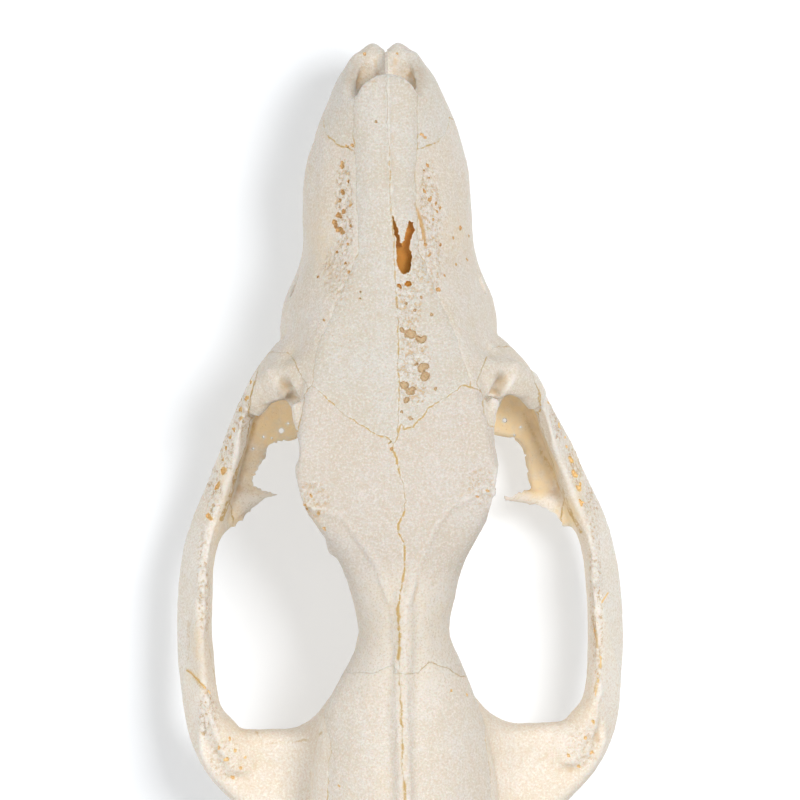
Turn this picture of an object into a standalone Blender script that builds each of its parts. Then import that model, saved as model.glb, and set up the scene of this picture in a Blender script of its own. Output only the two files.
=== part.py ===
# Cranium of a young adult Virginia opossum, life size, standing on its canines and its
# paroccipital processes. The whole cranium is lofted, fused and smoothed as one form,
# then parted into its bones along the sutures. Teeth are set in the bones last.
#
# Shapes are worked out in millimetres and written to the scene in metres.
# x runs to the animal's left, t runs back from the tips of the snout, z runs up from the floor.

import math

import bmesh
import bpy
import numpy as np
from mathutils import Matrix, Vector

# Driving dimensions, in millimetres
ARCH_BREADTH = 62.0
BODY_START = 1.2
BODY_END = 115.6
PALATE_FRONT_Z = 13.7
PALATE_SLOPE = 0.1426
SUTURE_GAP = 0.3
HALF_GAP = SUTURE_GAP / 2
VOXEL = 0.55
BODY_TRIANGLES = 6900

# Behind the snout only what lies near the midline follows the bend of the axis.
SNOUT_END = 45.0
NEAR_MIDLINE = 14.0
CHEEK_END = 55.0

MM = 0.001
MIRROR = (1, -1)
SIDE_NAME = {1: "left", -1: "right"}
WHOLE_WIDTH = (-40, 40)
FLOOR_OUTLINE = ((-60, -20), (60, -20), (60, 140), (-60, 140))

# Front edge of the left orbit from the arch round to the brow, closed behind, as (x, t)
ORBIT_EDGE = (
    (19.9, 52.4), (19.0, 51.0), (17.4, 49.8), (15.8, 49.3), (14.6, 49.9), (13.9, 51.2), (13.5, 53.0),
    (13.3, 57.0), (18.0, 60.0), (20.2, 56.0),
)

# Where the hook behind each last socket ends, as (x, t)
HOOK_TIP = {1: (16.4, 62.5), -1: (14.9, 63.8)}

# Teeth of one side: place across and along the skull, then sizes
# (height for an incisor; half length, half width and height for a premolar; length and width
# for a molar)
INCISORS = ((1.6, 2.0, 4.4), (3.1, 2.8, 3.7), (4.5, 4.2, 3.6), (5.6, 6.0, 3.5), (6.5, 8.0, 3.3))
PREMOLARS = (
    (10.0, 21.8, 1.3, 0.75, 2.2),
    (10.3, 27.6, 2.5, 1.1, 3.6),
    (11.4, 33.2, 2.8, 1.3, 4.2),
)
MOLARS = ((12.2, 39.0, 5.0, 4.6), (14.6, 44.9, 5.6, 5.4), (16.8, 51.0, 5.6, 6.0))

# How far a cheek tooth's outline leans outward for each millimetre back along it
MOLAR_SKEW = 0.32

# Base colour and roughness of each bone
BONE_LOOK = {
    "premaxilla": ((0.84, 0.79, 0.70), 0.62),
    "nasal": ((0.85, 0.79, 0.68), 0.66),
    "maxilla": ((0.84, 0.77, 0.65), 0.64),
    "lacrimal": ((0.86, 0.81, 0.71), 0.55),
    "jugal": ((0.84, 0.78, 0.65), 0.60),
    "frontal": ((0.85, 0.79, 0.68), 0.66),
    "parietal": ((0.85, 0.79, 0.68), 0.64),
    "squamosal": ((0.85, 0.77, 0.65), 0.62),
    "palatine": ((0.83, 0.77, 0.66), 0.64),
    "sphenoid": ((0.83, 0.76, 0.64), 0.64),
    "occipital": ((0.84, 0.77, 0.65), 0.64),
}
SMOOTH_BELOW = math.radians(50)


# Profiles along the skull

def curve_through(*keys):
    """A smooth function of one variable through (place, value) keys, flat beyond its ends."""
    at = np.array([key[0] for key in keys], float)
    value = np.array([key[1] for key in keys], float)
    step = np.diff(at)
    slope = np.diff(value) / step
    tangent = np.zeros(len(at))
    for i in range(1, len(at) - 1):
        if slope[i - 1] * slope[i] > 0:
            weight_a = 2 * step[i] + step[i - 1]
            weight_b = step[i] + 2 * step[i - 1]
            tangent[i] = (weight_a + weight_b) / (weight_a / slope[i - 1] + weight_b / slope[i])
    tangent[0], tangent[-1] = slope[0], slope[-1]

    def evaluate(place):
        place = min(max(place, at[0]), at[-1])
        i = min(int(np.searchsorted(at, place, side="right")) - 1, len(step) - 1)
        u = (place - at[i]) / step[i]
        return float(
            (1 + 2 * u) * (1 - u) ** 2 * value[i]
            + u * (1 - u) ** 2 * step[i] * tangent[i]
            + u * u * (3 - 2 * u) * value[i + 1]
            + u * u * (u - 1) * step[i] * tangent[i + 1]
        )

    return evaluate


def palate_z(t):
    """Height of the tooth line: the palate climbs forward, because the skull rests on its canines."""
    return PALATE_FRONT_Z - PALATE_SLOPE * t


roof_z = curve_through(
    (0, 19.0), (2, 22.6), (4, 25.8), (6, 26.6), (12, 27.3), (20, 28.3), (30, 29.4), (40, 31.2),
    (50, 33.5), (58, 34.7), (66, 34.7), (75, 33.6), (85, 32.7), (95, 32.6), (105, 32.3),
    (112, 31.6), (117, 30.4),
)
roof_half = curve_through(
    (0, 3.4), (4, 4.4), (8, 5.0), (16, 5.3), (28, 5.8), (36, 8.4), (42, 10.6), (47, 12.0),
    (52, 13.2), (57, 14.0), (60.5, 14.6), (62.6, 14.4), (66, 12.4), (69, 10.5), (73, 8.2),
    (77, 7.0), (82, 6.1), (86, 7.6), (91, 9.8), (97, 11.2), (105, 12.3), (112, 11.6), (117, 9.4),
)
roof_drop = curve_through(
    (0, 1.2), (6, 1.7), (20, 2.4), (34, 2.3), (46, 1.6), (55, 1.3), (61, 2.0), (66, 3.0), (73, 4.2),
    (82, 5.4), (92, 6.6), (105, 7.4), (117, 6.4),
)
wall_half = curve_through(
    (0, 3.6), (4, 5.8), (8, 7.5), (14, 9.0), (20, 9.8), (28, 10.0), (34, 11.9), (38, 13.2),
    (42, 13.6), (46, 12.6), (50, 10.6), (56, 9.4), (66, 8.6), (74, 7.3), (82, 6.1), (88, 8.2),
    (96, 11.4), (105, 12.7), (112, 12.2), (117, 10.0),
)
wall_z = curve_through(
    (0, 15.4), (8, 20.2), (34, 21.4), (56, 21), (80, 21), (96, 19.5), (118, 17.5),
)
jaw_half = curve_through(
    (0, 3.2), (2, 4.5), (4, 6.2), (6, 7.3), (8, 8.1), (10, 9.0), (12, 9.75), (14, 10.25),
    (16, 10.8), (18, 11.3), (20, 11.5), (28, 11.8), (30, 12.1), (32, 12.8), (34, 13.7), (36, 14.5),
    (40, 15.0), (44, 14.4), (48, 13.2), (56, 10.4), (63, 8.6), (70, 6.6), (78, 5.6), (86, 6.6),
    (96, 8.6), (108, 9.6), (117, 7.4),
)
jaw_rise = curve_through(
    (0, 1.2), (10, 3.0), (28, 3.6), (50, 3.2), (66, 3.0), (80, 2.6), (96, 2.2), (118, 3.0),
)
base_z = curve_through(
    (0, palate_z(0)), (30, palate_z(30)), (60, palate_z(60)), (67, palate_z(67)), (72, 6.4),
    (79, 9.0), (87, 10.2), (98, 9.0), (110, 7.6), (118, 7.0),
)
vault = curve_through(
    (0, 0.3), (12, 1.0), (30, 1.9), (58, 2.1), (68, 1.0), (80, 0.4), (98, -0.3), (118, 0.2),
)

# The axis of this skull bends a little to its left in the face and to its right behind the orbits.
axis_x = curve_through(
    (0, 0.1), (6, 0.15), (14, 0.2), (21, 0.43), (29, 0.36), (34, 0.55), (40, 0.6), (44, 0.38),
    (48, 0.3), (56, 0.1), (62, -0.35), (74, -0.6), (84, -0.55), (92, 0.0), (117, 0.0),
)

# Zygomatic arch: its crest, its outermost line and its inner face
arch_out = curve_through(
    (41, 15.3), (42, 16.3), (44, 18.1), (46, 19.5), (48, 20.6), (54, 23.5), (60, 26.1), (66, 28.75),
    (70, 30.0), (74, 30.65), (80, 31.1), (84, ARCH_BREADTH / 2 + 0.1), (88, 30.8), (92, 30.4),
    (96, 29.7), (99, 28.6), (101, 27.5),
)
arch_crest = curve_through(
    (41, 13.0), (46, 17.2), (50, 19.8), (55, 21.5), (62, 24.0), (70, 26.9), (80, 27.7), (90, 27.4),
    (101, 23.5),
)
arch_in = curve_through(
    (41, 11.0), (46, 15.0), (50, 18.4), (56, 20.8), (62, 22.6), (67, 24.1), (70, 25.4), (74, 26.0),
    (80, 26.3), (88, 25.9), (92, 25.2), (94, 23.4), (101, 20.0),
)
arch_top = curve_through(
    (41, 23.5), (45, 25.4), (48, 24.8), (51, 22.6), (55, 19.8), (60, 17.4), (66, 16.2), (70, 16.3),
    (74, 17.4), (78, 17.2), (84, 17.6), (92, 18.8), (101, 18.0),
)
arch_low = curve_through(
    (41, 13.0), (46, 11.2), (52, 9.4), (60, 8.0), (69, 6.7), (78, 6.4), (86, 7.4), (94, 9.2),
    (101, 10.4),
)

# Root of the squamosal, as functions of x
root_front = curve_through(
    (7.5, 87.0), (10.4, 91.4), (12.8, 94.0), (16, 95.1), (22, 95.0), (25.5, 93.8), (28.5, 91.8),
)
root_rear = curve_through(
    (7.5, 113), (13, 112.5), (17, 110.6), (20, 108.5), (22.9, 106.0), (24.5, 104.4), (26.4, 102.4),
    (27.7, 100.4), (28.5, 98.4),
)
root_top = curve_through(
    (7.5, 25.5), (10.5, 23.0), (13, 19.8), (17, 17.6), (22, 17.0), (28.5, 18.0),
)
root_low = curve_through((7.5, 9.0), (14, 8.6), (22, 9.4), (28.5, 10.4))

# Tooth-bearing shelf of the maxilla, whose rear top is the floor of the orbit
shelf_in = curve_through(
    (26, 6.0), (40, 8.6), (50, 11.0), (54.6, 13.2), (55.5, 16.6), (56.6, 17.7), (61.3, 18.5),
    (63, 19.2), (68, 24.6),
)
shelf_out = curve_through(
    (26, 10.2), (32, 12.2), (38, 14.2), (41, 14.9), (48, 18.6), (54, 20.6), (58, 22.4), (63, 24.4),
    (68, 26.4),
)
shelf_top = curve_through((26, 14), (44, 14.5), (50, 12.6), (56, 11.4), (62, 10.8), (68, 11.4))


# Mesh helpers

def new_object(name, mesh_data):
    """An object in the scene that holds what a bmesh holds."""
    mesh = bpy.data.meshes.new(name)
    bmesh.ops.recalc_face_normals(mesh_data, faces=mesh_data.faces)
    mesh_data.to_mesh(mesh)
    mesh_data.free()
    obj = bpy.data.objects.new(name, mesh)
    bpy.context.scene.collection.objects.link(obj)
    return obj


def smooth_ring(corners, count):
    """Points on a closed Catmull-Rom curve through the corners, evenly numbered between them."""
    corners = np.array(corners, float)
    points = []
    for i in range(count):
        place = i * len(corners) / count
        k = int(place)
        u = place - k
        before, start, end, after = (corners[(k + j) % len(corners)] for j in (-1, 0, 1, 2))
        points.append(
            0.5 * (
                2 * start + (end - before) * u
                + (2 * before - 5 * start + 4 * end - after) * u ** 2
                + (3 * start - before - 3 * end + after) * u ** 3
            )
        )
    return points


def loft(name, rings):
    """A closed skin over rings that have the same number of points."""
    data = bmesh.new()
    loops = [[data.verts.new(point) for point in ring] for ring in rings]
    count = len(loops[0])
    for ring, following in zip(loops, loops[1:]):
        for i in range(count):
            j = (i + 1) % count
            data.faces.new((ring[i], ring[j], following[j], following[i]))
    data.faces.new(loops[0][::-1])
    data.faces.new(loops[-1])
    data.normal_update()
    bmesh.ops.triangulate(data, faces=[f for f in data.faces if len(f.verts) > 4])
    return new_object(name, data)


def places(start, end, step):
    """Evenly spaced places from start to end, about step apart."""
    return np.linspace(start, end, max(2, round(abs(end - start) / step) + 1))


def blob(name, centre, radii, turn=(0, 0, 0)):
    """An ellipsoid, turned in degrees about x, y and z."""
    data = bmesh.new()
    bmesh.ops.create_uvsphere(data, u_segments=20, v_segments=12, radius=1)
    rotation = Matrix.Identity(4)
    for axis, degrees in zip("XYZ", turn):
        rotation = Matrix.Rotation(math.radians(degrees), 4, axis) @ rotation
    placed = Matrix.Translation(centre) @ rotation @ Matrix.Diagonal((*radii, 1))
    bmesh.ops.transform(data, matrix=placed, verts=data.verts)
    return new_object(name, data)


def tube(name, points, radii, sides=14):
    """A round bar through the points with a radius at each. A radius may be (sideways, upright)."""
    points = [Vector(point) for point in points]
    rings = []
    for i, centre in enumerate(points):
        ahead = points[min(i + 1, len(points) - 1)] - points[max(i - 1, 0)]
        across = ahead.cross(Vector((0, 0, 1)))
        if across.length < 0.3 * ahead.length:
            across = ahead.cross(Vector((0, 1, 0)))
        across.normalize()
        upright = across.cross(ahead).normalized()
        wide, tall = radii[i] if isinstance(radii[i], tuple) else (radii[i], radii[i])
        rings.append([
            centre + across * wide * math.cos(angle) + upright * tall * math.sin(angle)
            for angle in np.linspace(0, 2 * math.pi, sides, endpoint=False)
        ])
    return loft(name, rings)


def prism(name, outline, low, high, normal="Z"):
    """An outline extruded between two levels. Normal Z takes (x, t) points, X takes (t, z) points.
    Low may be a function of (x, t), for a floor that follows a surface."""
    data = bmesh.new()

    def corner(point, level):
        height = level(*point) if callable(level) else level
        return (height, point[0], point[1]) if normal == "X" else (point[0], point[1], height)

    bottom = [data.verts.new(corner(point, low)) for point in outline]
    top = [data.verts.new(corner(point, high)) for point in outline]
    for i in range(len(outline)):
        j = (i + 1) % len(outline)
        data.faces.new((bottom[i], bottom[j], top[j], top[i]))
    ends = [data.faces.new(bottom[::-1]), data.faces.new(top)]
    data.normal_update()
    bmesh.ops.triangulate(data, faces=ends)
    return new_object(name, data)


def bake(obj):
    """The object's mesh replaced by what its modifiers make of it."""
    graph = bpy.context.evaluated_depsgraph_get()
    mesh = bpy.data.meshes.new_from_object(obj.evaluated_get(graph))
    obj.modifiers.clear()
    obj.data = mesh
    return obj


def combine(obj, others, operation):
    """Joins the other objects to this one, or cuts them from it, in one Boolean, and removes them."""
    group = bpy.data.collections.new("operands")
    for other in others:
        group.objects.link(other)
    boolean = obj.modifiers.new("combine", "BOOLEAN")
    boolean.operation = operation
    boolean.solver = "EXACT"
    boolean.operand_type = "COLLECTION"
    boolean.collection = group
    bake(obj)
    for other in others:
        bpy.data.objects.remove(other)
    bpy.data.collections.remove(group)
    return obj


def keep_largest(obj):
    """Drops every closed surface of the object but the one that spans the largest box."""
    data = bmesh.new()
    data.from_mesh(obj.data)
    seen, shells = set(), []
    for start in data.verts:
        if start in seen:
            continue
        shell, front = {start}, [start]
        while front:
            for edge in front.pop().link_edges:
                for vert in edge.verts:
                    if vert not in shell:
                        shell.add(vert)
                        front.append(vert)
        seen |= shell
        shells.append(shell)

    def span(shell):
        places_of = np.array([vert.co for vert in shell])
        return np.prod(np.ptp(places_of, axis=0))

    shells.sort(key=span)
    spare = [vert for shell in shells[:-1] for vert in shell]
    bmesh.ops.delete(data, geom=spare, context="VERTS")
    data.to_mesh(obj.data)
    data.free()
    return obj


# The cranium before it is parted

def drift(x, t):
    """How far the axis has bent where a piece sits. Behind the snout the arches don't follow it."""
    return axis_x(t) if t < SNOUT_END or abs(x) < NEAR_MIDLINE else 0.0


def cheek_bend(t):
    """How far the root of the arch and the tooth row follow the bend of the axis."""
    return axis_x(t) if t < CHEEK_END else 0.0


def body_ring(t):
    """Section of the face, orbit walls and braincase at one place along the skull."""
    top, shoulder, drop = roof_z(t), roof_half(t), roof_drop(t)
    jaw, low = jaw_half(t), base_z(t)
    half = [
        (0.55 * shoulder, top - 0.22 * drop),
        (shoulder, top - drop),
        (wall_half(t), wall_z(t)),
        (jaw, low + jaw_rise(t)),
        (0.99 * jaw, low + 0.9),
        (0.86 * jaw, low - 0.1),
        (0.5 * jaw, low + 0.75 * vault(t)),
    ]
    corners = [(0, top)] + half + [(0, low + vault(t))] + [(-x, z) for x, z in reversed(half)]
    return [(x + axis_x(t), t, z) for x, z in smooth_ring(corners, 56)]


def arch_ring(t, side):
    """Section of the zygomatic arch: a tall plate whose crest leans in and whose outer face swells."""
    crest, outer, inner = arch_crest(t), arch_out(t), arch_in(t)
    top, low = arch_top(t), arch_low(t)
    tall = top - low
    corners = [
        (crest, top),
        (0.45 * crest + 0.55 * outer, top - 0.22 * tall),
        (outer, low + 0.45 * tall),
        (0.75 * outer + 0.25 * inner, low + 0.08 * tall),
        (0.42 * outer + 0.58 * inner, low),
        (inner, low + 0.34 * tall),
        (0.8 * inner + 0.2 * crest, top - 0.24 * tall),
    ]
    return [(side * x + cheek_bend(t), t, z) for x, z in smooth_ring(corners, 28)]


def root_ring(x, side):
    """Section of the squamosal's root at one distance from the midline, seen from the side."""
    front, rear, top, low = root_front(x), root_rear(x), root_top(x), root_low(x)
    deep, tall = rear - front, top - low
    corners = [
        (front + 0.10 * deep, top - 0.06 * tall),
        (front + 0.45 * deep, top - 0.10 * tall),
        (rear - 0.12 * deep, top - 0.02 * tall),
        (rear, top - 0.35 * tall),
        (rear - 0.10 * deep, low + 0.1 * tall),
        (front + 0.50 * deep, low),
        (front + 0.10 * deep, low + 0.08 * tall),
        (front, low + 0.55 * tall),
    ]
    return [(side * x, t, z) for t, z in smooth_ring(corners, 32)]


def shelf_ring(t, side):
    """Section of the bone that carries the cheek teeth. Behind the last molar it is a strip on the arch."""
    inner, outer, top = shelf_in(t), shelf_out(t), shelf_top(t)
    low = max(palate_z(t), 5.6 + 0.28 * max(0.0, t - 56.0))
    corners = [
        (inner + 0.3, top - 0.3), (0.5 * (inner + outer), top), (outer, top - 0.6),
        (outer + 0.2, 0.5 * (top + low)), (outer - 0.5, low), (0.5 * (inner + outer), low - 0.1),
        (inner + 0.4, low + 0.2), (inner - 0.1, 0.5 * (top + low)),
    ]
    return [(side * x + cheek_bend(t), t, z) for x, z in smooth_ring(corners, 24)]


def mirrored(outline, side):
    """An (x, t) outline for one side, bent with the axis except along the middle seam."""
    return [(side * x + (drift(x, t) if x > 1 else 0.0), t) for x, t in outline]


def sided_blob(what, side, centre, radii, turn=(0, 0, 0)):
    """An ellipsoid given for the left side, mirrored for the right."""
    x, t, z = centre
    place = (side * x + drift(x, t), t, z)
    pitch, roll, yaw = turn
    return blob(f"{what}_{SIDE_NAME[side]}", place, radii, (pitch, roll * side, yaw * side))


def sided_tube(what, side, points, radii):
    """A bar given for the left side, mirrored for the right."""
    placed = [(side * x + drift(x, t), t, z) for x, t, z in points]
    return tube(f"{what}_{SIDE_NAME[side]}", placed, radii)


def face_masses(side):
    """What the snout, the orbit's rim and the arch add to the body and its lofts."""
    reach, hook_t = HOOK_TIP[side]
    return [
        # The rounded tip of the premaxilla stands clear of its twin.
        sided_blob("tip", side, (2.15, 2.7, 15.5), (1.95, 2.75, 2.1), (8, 0, -16)),
        sided_blob("canine_root", side, (9.2, 19.5, 16), (2.3, 7.0, 4.6), (10, 0, -4)),
        # Front wall of the orbit, and the rim above it that carries the lacrimal
        sided_blob("orbit_wall", side, (14.4, 47.0, 19.5), (4.2, 4.4, 7.0), (0, -8, -24)),
        sided_tube(
            "orbit_rim",
            side,
            [
                (10.8, 46.6, 28.9), (13.4, 46.8, 27.3), (16.0, 47.2, 25.0), (18.4, 48.4, 22.6),
                (20.0, 50.2, 20.6),
            ],
            [(3.0, 2.0), (3.0, 2.0), (2.9, 2.0), (2.5, 1.8), (1.6, 1.4)],
        ),
        sided_blob("postorbital", side, (12.9, 61.2, 32.0), (2.2, 3.0, 1.6), (0, 12, 0)),
        # Where the arch turns in to its root
        sided_blob("arch_turn", side, (24.0, 98.3, 14.9), (4.4, 3.6, 3.1)),
        sided_blob("jugal_process", side, (27.4, 74.6, 16.4), (1.0, 2.8, 1.5), (6, 0, 0)),
        # Hook behind the empty socket of the last molar
        sided_tube(
            "hook",
            side,
            [
                (24.4, hook_t + 2.8, 10.6), (21.6, hook_t + 1.1, 10.8), (19.4, hook_t, 10.9),
                (reach + 1.2, hook_t - 0.4, 10.7), (reach, hook_t, 10.4),
            ],
            [(2.0, 1.2), (1.5, 1.0), (1.15, 0.95), (0.95, 0.85), (0.7, 0.7)],
        ),
    ]


def base_masses(side):
    """What the underside and the rear of the cranium add on one side."""
    return [
        # Wing of the palatine and pterygoid, down to its hooked end
        sided_tube(
            "pterygoid",
            side,
            [
                (4.7, 62, 6.6), (4.6, 69, 6.4), (4.5, 75, 6.8), (4.4, 80, 6.4), (4.3, 84.0, 4.2),
                (4.3, 85.6, 2.6),
            ],
            [(1.1, 2.4), (1.0, 2.8), (0.95, 2.7), (0.9, 2.2), (0.8, 1.3), (0.6, 0.7)],
        ),
        sided_tube(
            "pterygoid_root",
            side,
            [(4.6, 64, 9.4), (4.6, 73, 9.6), (4.6, 81, 9.8), (5.2, 87, 9.8)],
            [(1.0, 2.4), (1.0, 2.4), (1.0, 2.4), (1.2, 2.0)],
        ),
        sided_tube(
            "alisphenoid_keel",
            side,
            [(4.6, 79, 9.4), (6.2, 87, 9.2), (7.8, 94, 8.4)],
            [(1.1, 1.8), (1.2, 2.2), (1.6, 2.0)],
        ),
        sided_blob("bulla", side, (8.4, 98.0, 7.6), (3.2, 4.6, 3.1), (0, 10, 14)),
        sided_blob("petrosal", side, (9.6, 104.8, 9.0), (3.4, 3.8, 2.8)),
        sided_blob("basioccipital", side, (2.6, 107.0, 9.4), (3.6, 9.0, 2.2)),
        # Walls of the joint for the lower jaw: the postglenoid process behind it, the entoglenoid inside
        sided_tube(
            "postglenoid",
            side,
            [(21.5, 102.6, 8.6), (18.6, 103.0, 7.0), (15.6, 103.0, 6.2), (13.2, 102.2, 7.2)],
            [(1.1, 1.6), (1.2, 2.2), (1.2, 2.4), (1.1, 2.0)],
        ),
        # Mastoid and paroccipital processes. The skull rests on the latter.
        sided_tube(
            "mastoid",
            side,
            [(14.6, 109.0, 18), (14.6, 108.8, 11), (14.2, 108.2, 6.0)],
            [(2.6, 3.2), (2.2, 2.6), (1.3, 1.3)],
        ),
        sided_tube(
            "paroccipital",
            side,
            [(9.8, 112.6, 16), (10.6, 112.0, 8), (11.3, 111.0, 3), (11.6, 110.4, -0.8)],
            [(2.8, 3.0), (2.7, 2.3), (2.1, 1.6), (1.5, 1.1)],
        ),
        sided_blob("condyle", side, (5.0, 116.0, 9.2), (2.9, 3.8, 4.3), (-24, 0, -22)),
        # Half of the nuchal crest, from the crown of the head to the mastoid
        sided_tube(
            "nuchal",
            side,
            [
                (-0.5, 117.4, 31.0), (4.6, 117.0, 30.2), (8.8, 115.7, 27.8), (11.8, 113.6, 24.2),
                (13.6, 111.4, 20.4), (14.6, 109.4, 15.6),
            ],
            [1.5, 1.5, 1.5, 1.5, 1.7, 2.0],
        ),
        # Temporal line, from the postorbital process in to the sagittal crest
        sided_tube(
            "temporal_line",
            side,
            [
                (12.8, 62.6, 32.5), (10.8, 63.4, 33.2), (7.3, 65.1, 33.8), (5.3, 67.6, 33.8),
                (3.7, 70.5, 33.5), (2.2, 73.8, 33.3), (1.0, 79.0, 33.2),
            ],
            [(0.9, 0.5), (0.8, 0.6), (0.8, 0.6), (0.8, 0.6), (0.8, 0.6), (0.8, 0.7), (0.8, 0.7)],
        ),
    ]


def side_lofts(side):
    """The arch, its root and the tooth shelf of one side."""
    name = SIDE_NAME[side]
    return [
        loft(f"arch_{name}", [arch_ring(t, side) for t in places(41, 101, 1.2)]),
        loft(f"root_{name}", [root_ring(x, side) for x in places(7.5, 28.5, 1.1)]),
        loft(f"shelf_{name}", [shelf_ring(t, side) for t in places(26, 68, 1.0)]),
    ]


def central_masses():
    """Crest and plate that lie across the midline."""
    crest = tube(
        "sagittal_crest",
        [(axis_x(t), t, roof_z(t) + 0.15) for t in places(76, 117, 4)],
        [(1.15, 0.5)] + [(1.25, 1.0)] * 8 + [(1.5, 1.3), (1.6, 1.3)],
    )
    torus = tube(
        "palate_torus",
        [(-9.6, 62.2, 5.6), (-6.0, 65.2, 5.3), (0, 66.4, 5.6), (6.0, 65.2, 5.3), (9.6, 62.2, 5.6)],
        [(1.3, 1.0), (1.6, 1.1), (1.7, 1.1), (1.6, 1.1), (1.3, 1.0)],
    )
    occiput = blob("occiput", (0, 110.4, 18.6), (8.8, 6.9, 9.2))
    return [crest, torus, occiput]


def side_hollows(side):
    """Hollows of one side: orbit, nerve openings, palate windows and the joint for the lower jaw."""
    return [
        sided_blob("orbit", side, (17.0, 62.6, 24.4), (5.4, 13.2, 11.6), (-6, 0, 10)),
        # Arched front edge of the orbit, and the fold in front of it where the tear duct opens
        prism("orbit_edge", mirrored(ORBIT_EDGE, side), 13.2, 50),
        sided_tube(
            "tear_fold",
            side,
            [
                (16.7, 45.8, 27.2), (15.9, 46.8, 27.6), (15.0, 47.7, 28.0), (14.2, 48.7, 28.2),
                (13.6, 50.0, 27.9),
            ],
            [0.6, 0.9, 1.2, 1.2, 0.9],
        ),
        sided_blob("infraorbital", side, (13.4, 33.4, 17.6), (1.5, 5.0, 1.9), (0, 0, 22)),
        sided_blob("incisive_window", side, (1.9, 12.2, 12.6), (0.95, 3.6, 3.4)),
        sided_blob("palate_window", side, (4.4, 48.5, 7.4), (1.7, 6.4, 2.6), (0, 0, 4)),
        sided_blob("rear_palate_window", side, (6.6, 60.6, 5.6), (1.3, 2.2, 2.4), (0, 0, 20)),
        sided_blob("glenoid", side, (19.4, 98.9, 6.4), (6.6, 2.7, 4.2), (0, 0, -6)),
        sided_blob("ear", side, (14.6, 105.6, 11.0), (4.4, 1.5, 1.7), (0, 0, -10)),
    ]


def cavity_ring(t):
    """Section of the nasal cavity, a shell's thickness inside the face."""
    floor = palate_z(t) + vault(t) + 1.9
    narrowing = max(0.0, min(1.0, (t - 38.0) / 10.0))
    ceiling = (1 - narrowing) * (roof_z(t) - 1.7) + narrowing * (floor + 5.2)
    wide = (1 - narrowing) * (0.86 * wall_half(t) - 1.3) + narrowing * 3.6
    corners = [
        (0, ceiling), (0.55 * wide, ceiling - 0.4), (0.9 * wide, 0.7 * ceiling + 0.3 * floor),
        (wide, 0.35 * ceiling + 0.65 * floor), (0.7 * wide, floor + 0.3), (0, floor),
    ]
    corners += [(-x, z) for x, z in corners[4:0:-1]]
    return [(x + axis_x(t), t, z) for x, z in smooth_ring(corners, 28)]


def central_hollows():
    """Nostrils, the nasal passage to the throat, the rounded ends of the nasals and the foramen magnum."""
    passage = loft("nasal_passage", [cavity_ring(t) for t in places(2, 72, 1.5)])
    nostril = prism("nostril", [(-3, 29), (-3, 17.2), (1.8, 17.3), (7.9, 24.7), (3.4, 25.2)], -9, 9, "X")
    front = [(-9, -3), (-9, 8.0), (-4.4, 7.6), (-3.7, 6.1), (-2.2, 4.9), (-0.2, 4.3)]
    ends = prism("nasal_ends", front + [(-x, t) for x, t in reversed(front)], 24.6, 40)
    throat = tube(
        "throat",
        [(0, 66, 8.4), (0, 74, 7.6), (0, 86, 5.8)],
        [(3.4, 2.6), (3.4, 3.6), (3.2, 3.8)],
    )
    magnum = tube(
        "foramen_magnum",
        [(0, 124, 11.2), (0, 112, 13.6), (0, 103, 15.4)],
        [(4.6, 4.2), (4.9, 4.2), (3.4, 3.0)],
    )
    return [nostril, ends], [passage, throat, magnum]


def whole_cranium():
    """One fused, smoothed and thinned-out solid of the whole cranium, without its teeth."""
    body = loft("cranium", [body_ring(t) for t in places(BODY_START, BODY_END, 1.0)])
    nose_cuts, hollows = central_hollows()
    for cut in nose_cuts:
        combine(body, [cut], "DIFFERENCE")
    masses = central_masses()
    for side in MIRROR:
        masses += side_lofts(side) + face_masses(side) + base_masses(side)
        hollows += side_hollows(side)
    combine(body, masses, "UNION")
    combine(body, hollows, "DIFFERENCE")

    remesh = body.modifiers.new("fuse", "REMESH")
    remesh.mode = "VOXEL"
    remesh.voxel_size = VOXEL
    soften = body.modifiers.new("soften", "SMOOTH")
    soften.factor = 0.5
    soften.iterations = 3
    keep_largest(bake(body))

    triangles = sum(len(face.vertices) - 2 for face in body.data.polygons)
    thin = body.modifiers.new("thin", "DECIMATE")
    thin.ratio = BODY_TRIANGLES / triangles
    return keep_largest(bake(body))


# The bones, taken from the cranium one after another

def plan_and_profile(plan, heights, profile):
    """The solid that fills a plan outline, seen from above, and a profile, seen from the side."""
    from_above = prism("region", plan, *heights)
    from_side = prism("profile", profile, *WHOLE_WIDTH, "X")
    return combine(from_above, [from_side], "INTERSECT")


def draw_in(obj, distance):
    """Moves every face of a solid inwards by the distance."""
    data = bmesh.new()
    data.from_mesh(obj.data)
    data.normal_update()
    moves = [(vert, vert.normal * vert.calc_shell_factor() * distance) for vert in data.verts]
    for vert, move in moves:
        vert.co -= move
    data.to_mesh(obj.data)
    data.free()
    return obj


def take_bone(body, name, region):
    """The bone that a region marks off. What is left of the body stands a suture's width away from it."""
    bone = bpy.data.objects.new(name, body.data.copy())
    bpy.context.scene.collection.objects.link(bone)
    inner = bpy.data.objects.new("inner", region.data.copy())
    bpy.context.scene.collection.objects.link(inner)
    combine(bone, [draw_in(inner, SUTURE_GAP)], "INTERSECT")
    combine(body, [region], "DIFFERENCE")
    return keep_largest(bone)


def nasal_region(side):
    """A plate under the roof of the snout that ends behind in a wedge between the frontals."""
    outline = [
        (-HALF_GAP, 2), (5.4, 2), (4.6, 7.4), (4.4, 14), (4.1, 20), (4.2, 29), (6.2, 33.8), (8.4, 38.6),
        (10.2, 42.4), (11.1, 47.8), (9.2, 48.8), (7.0, 50.8), (4.8, 52.6), (2.6, 53.9), (0.8, 54.8),
        (-HALF_GAP, 55.4),
    ]
    return prism("region", mirrored(outline, side), lambda x, t: roof_z(t) - 2.3, 50)


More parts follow.
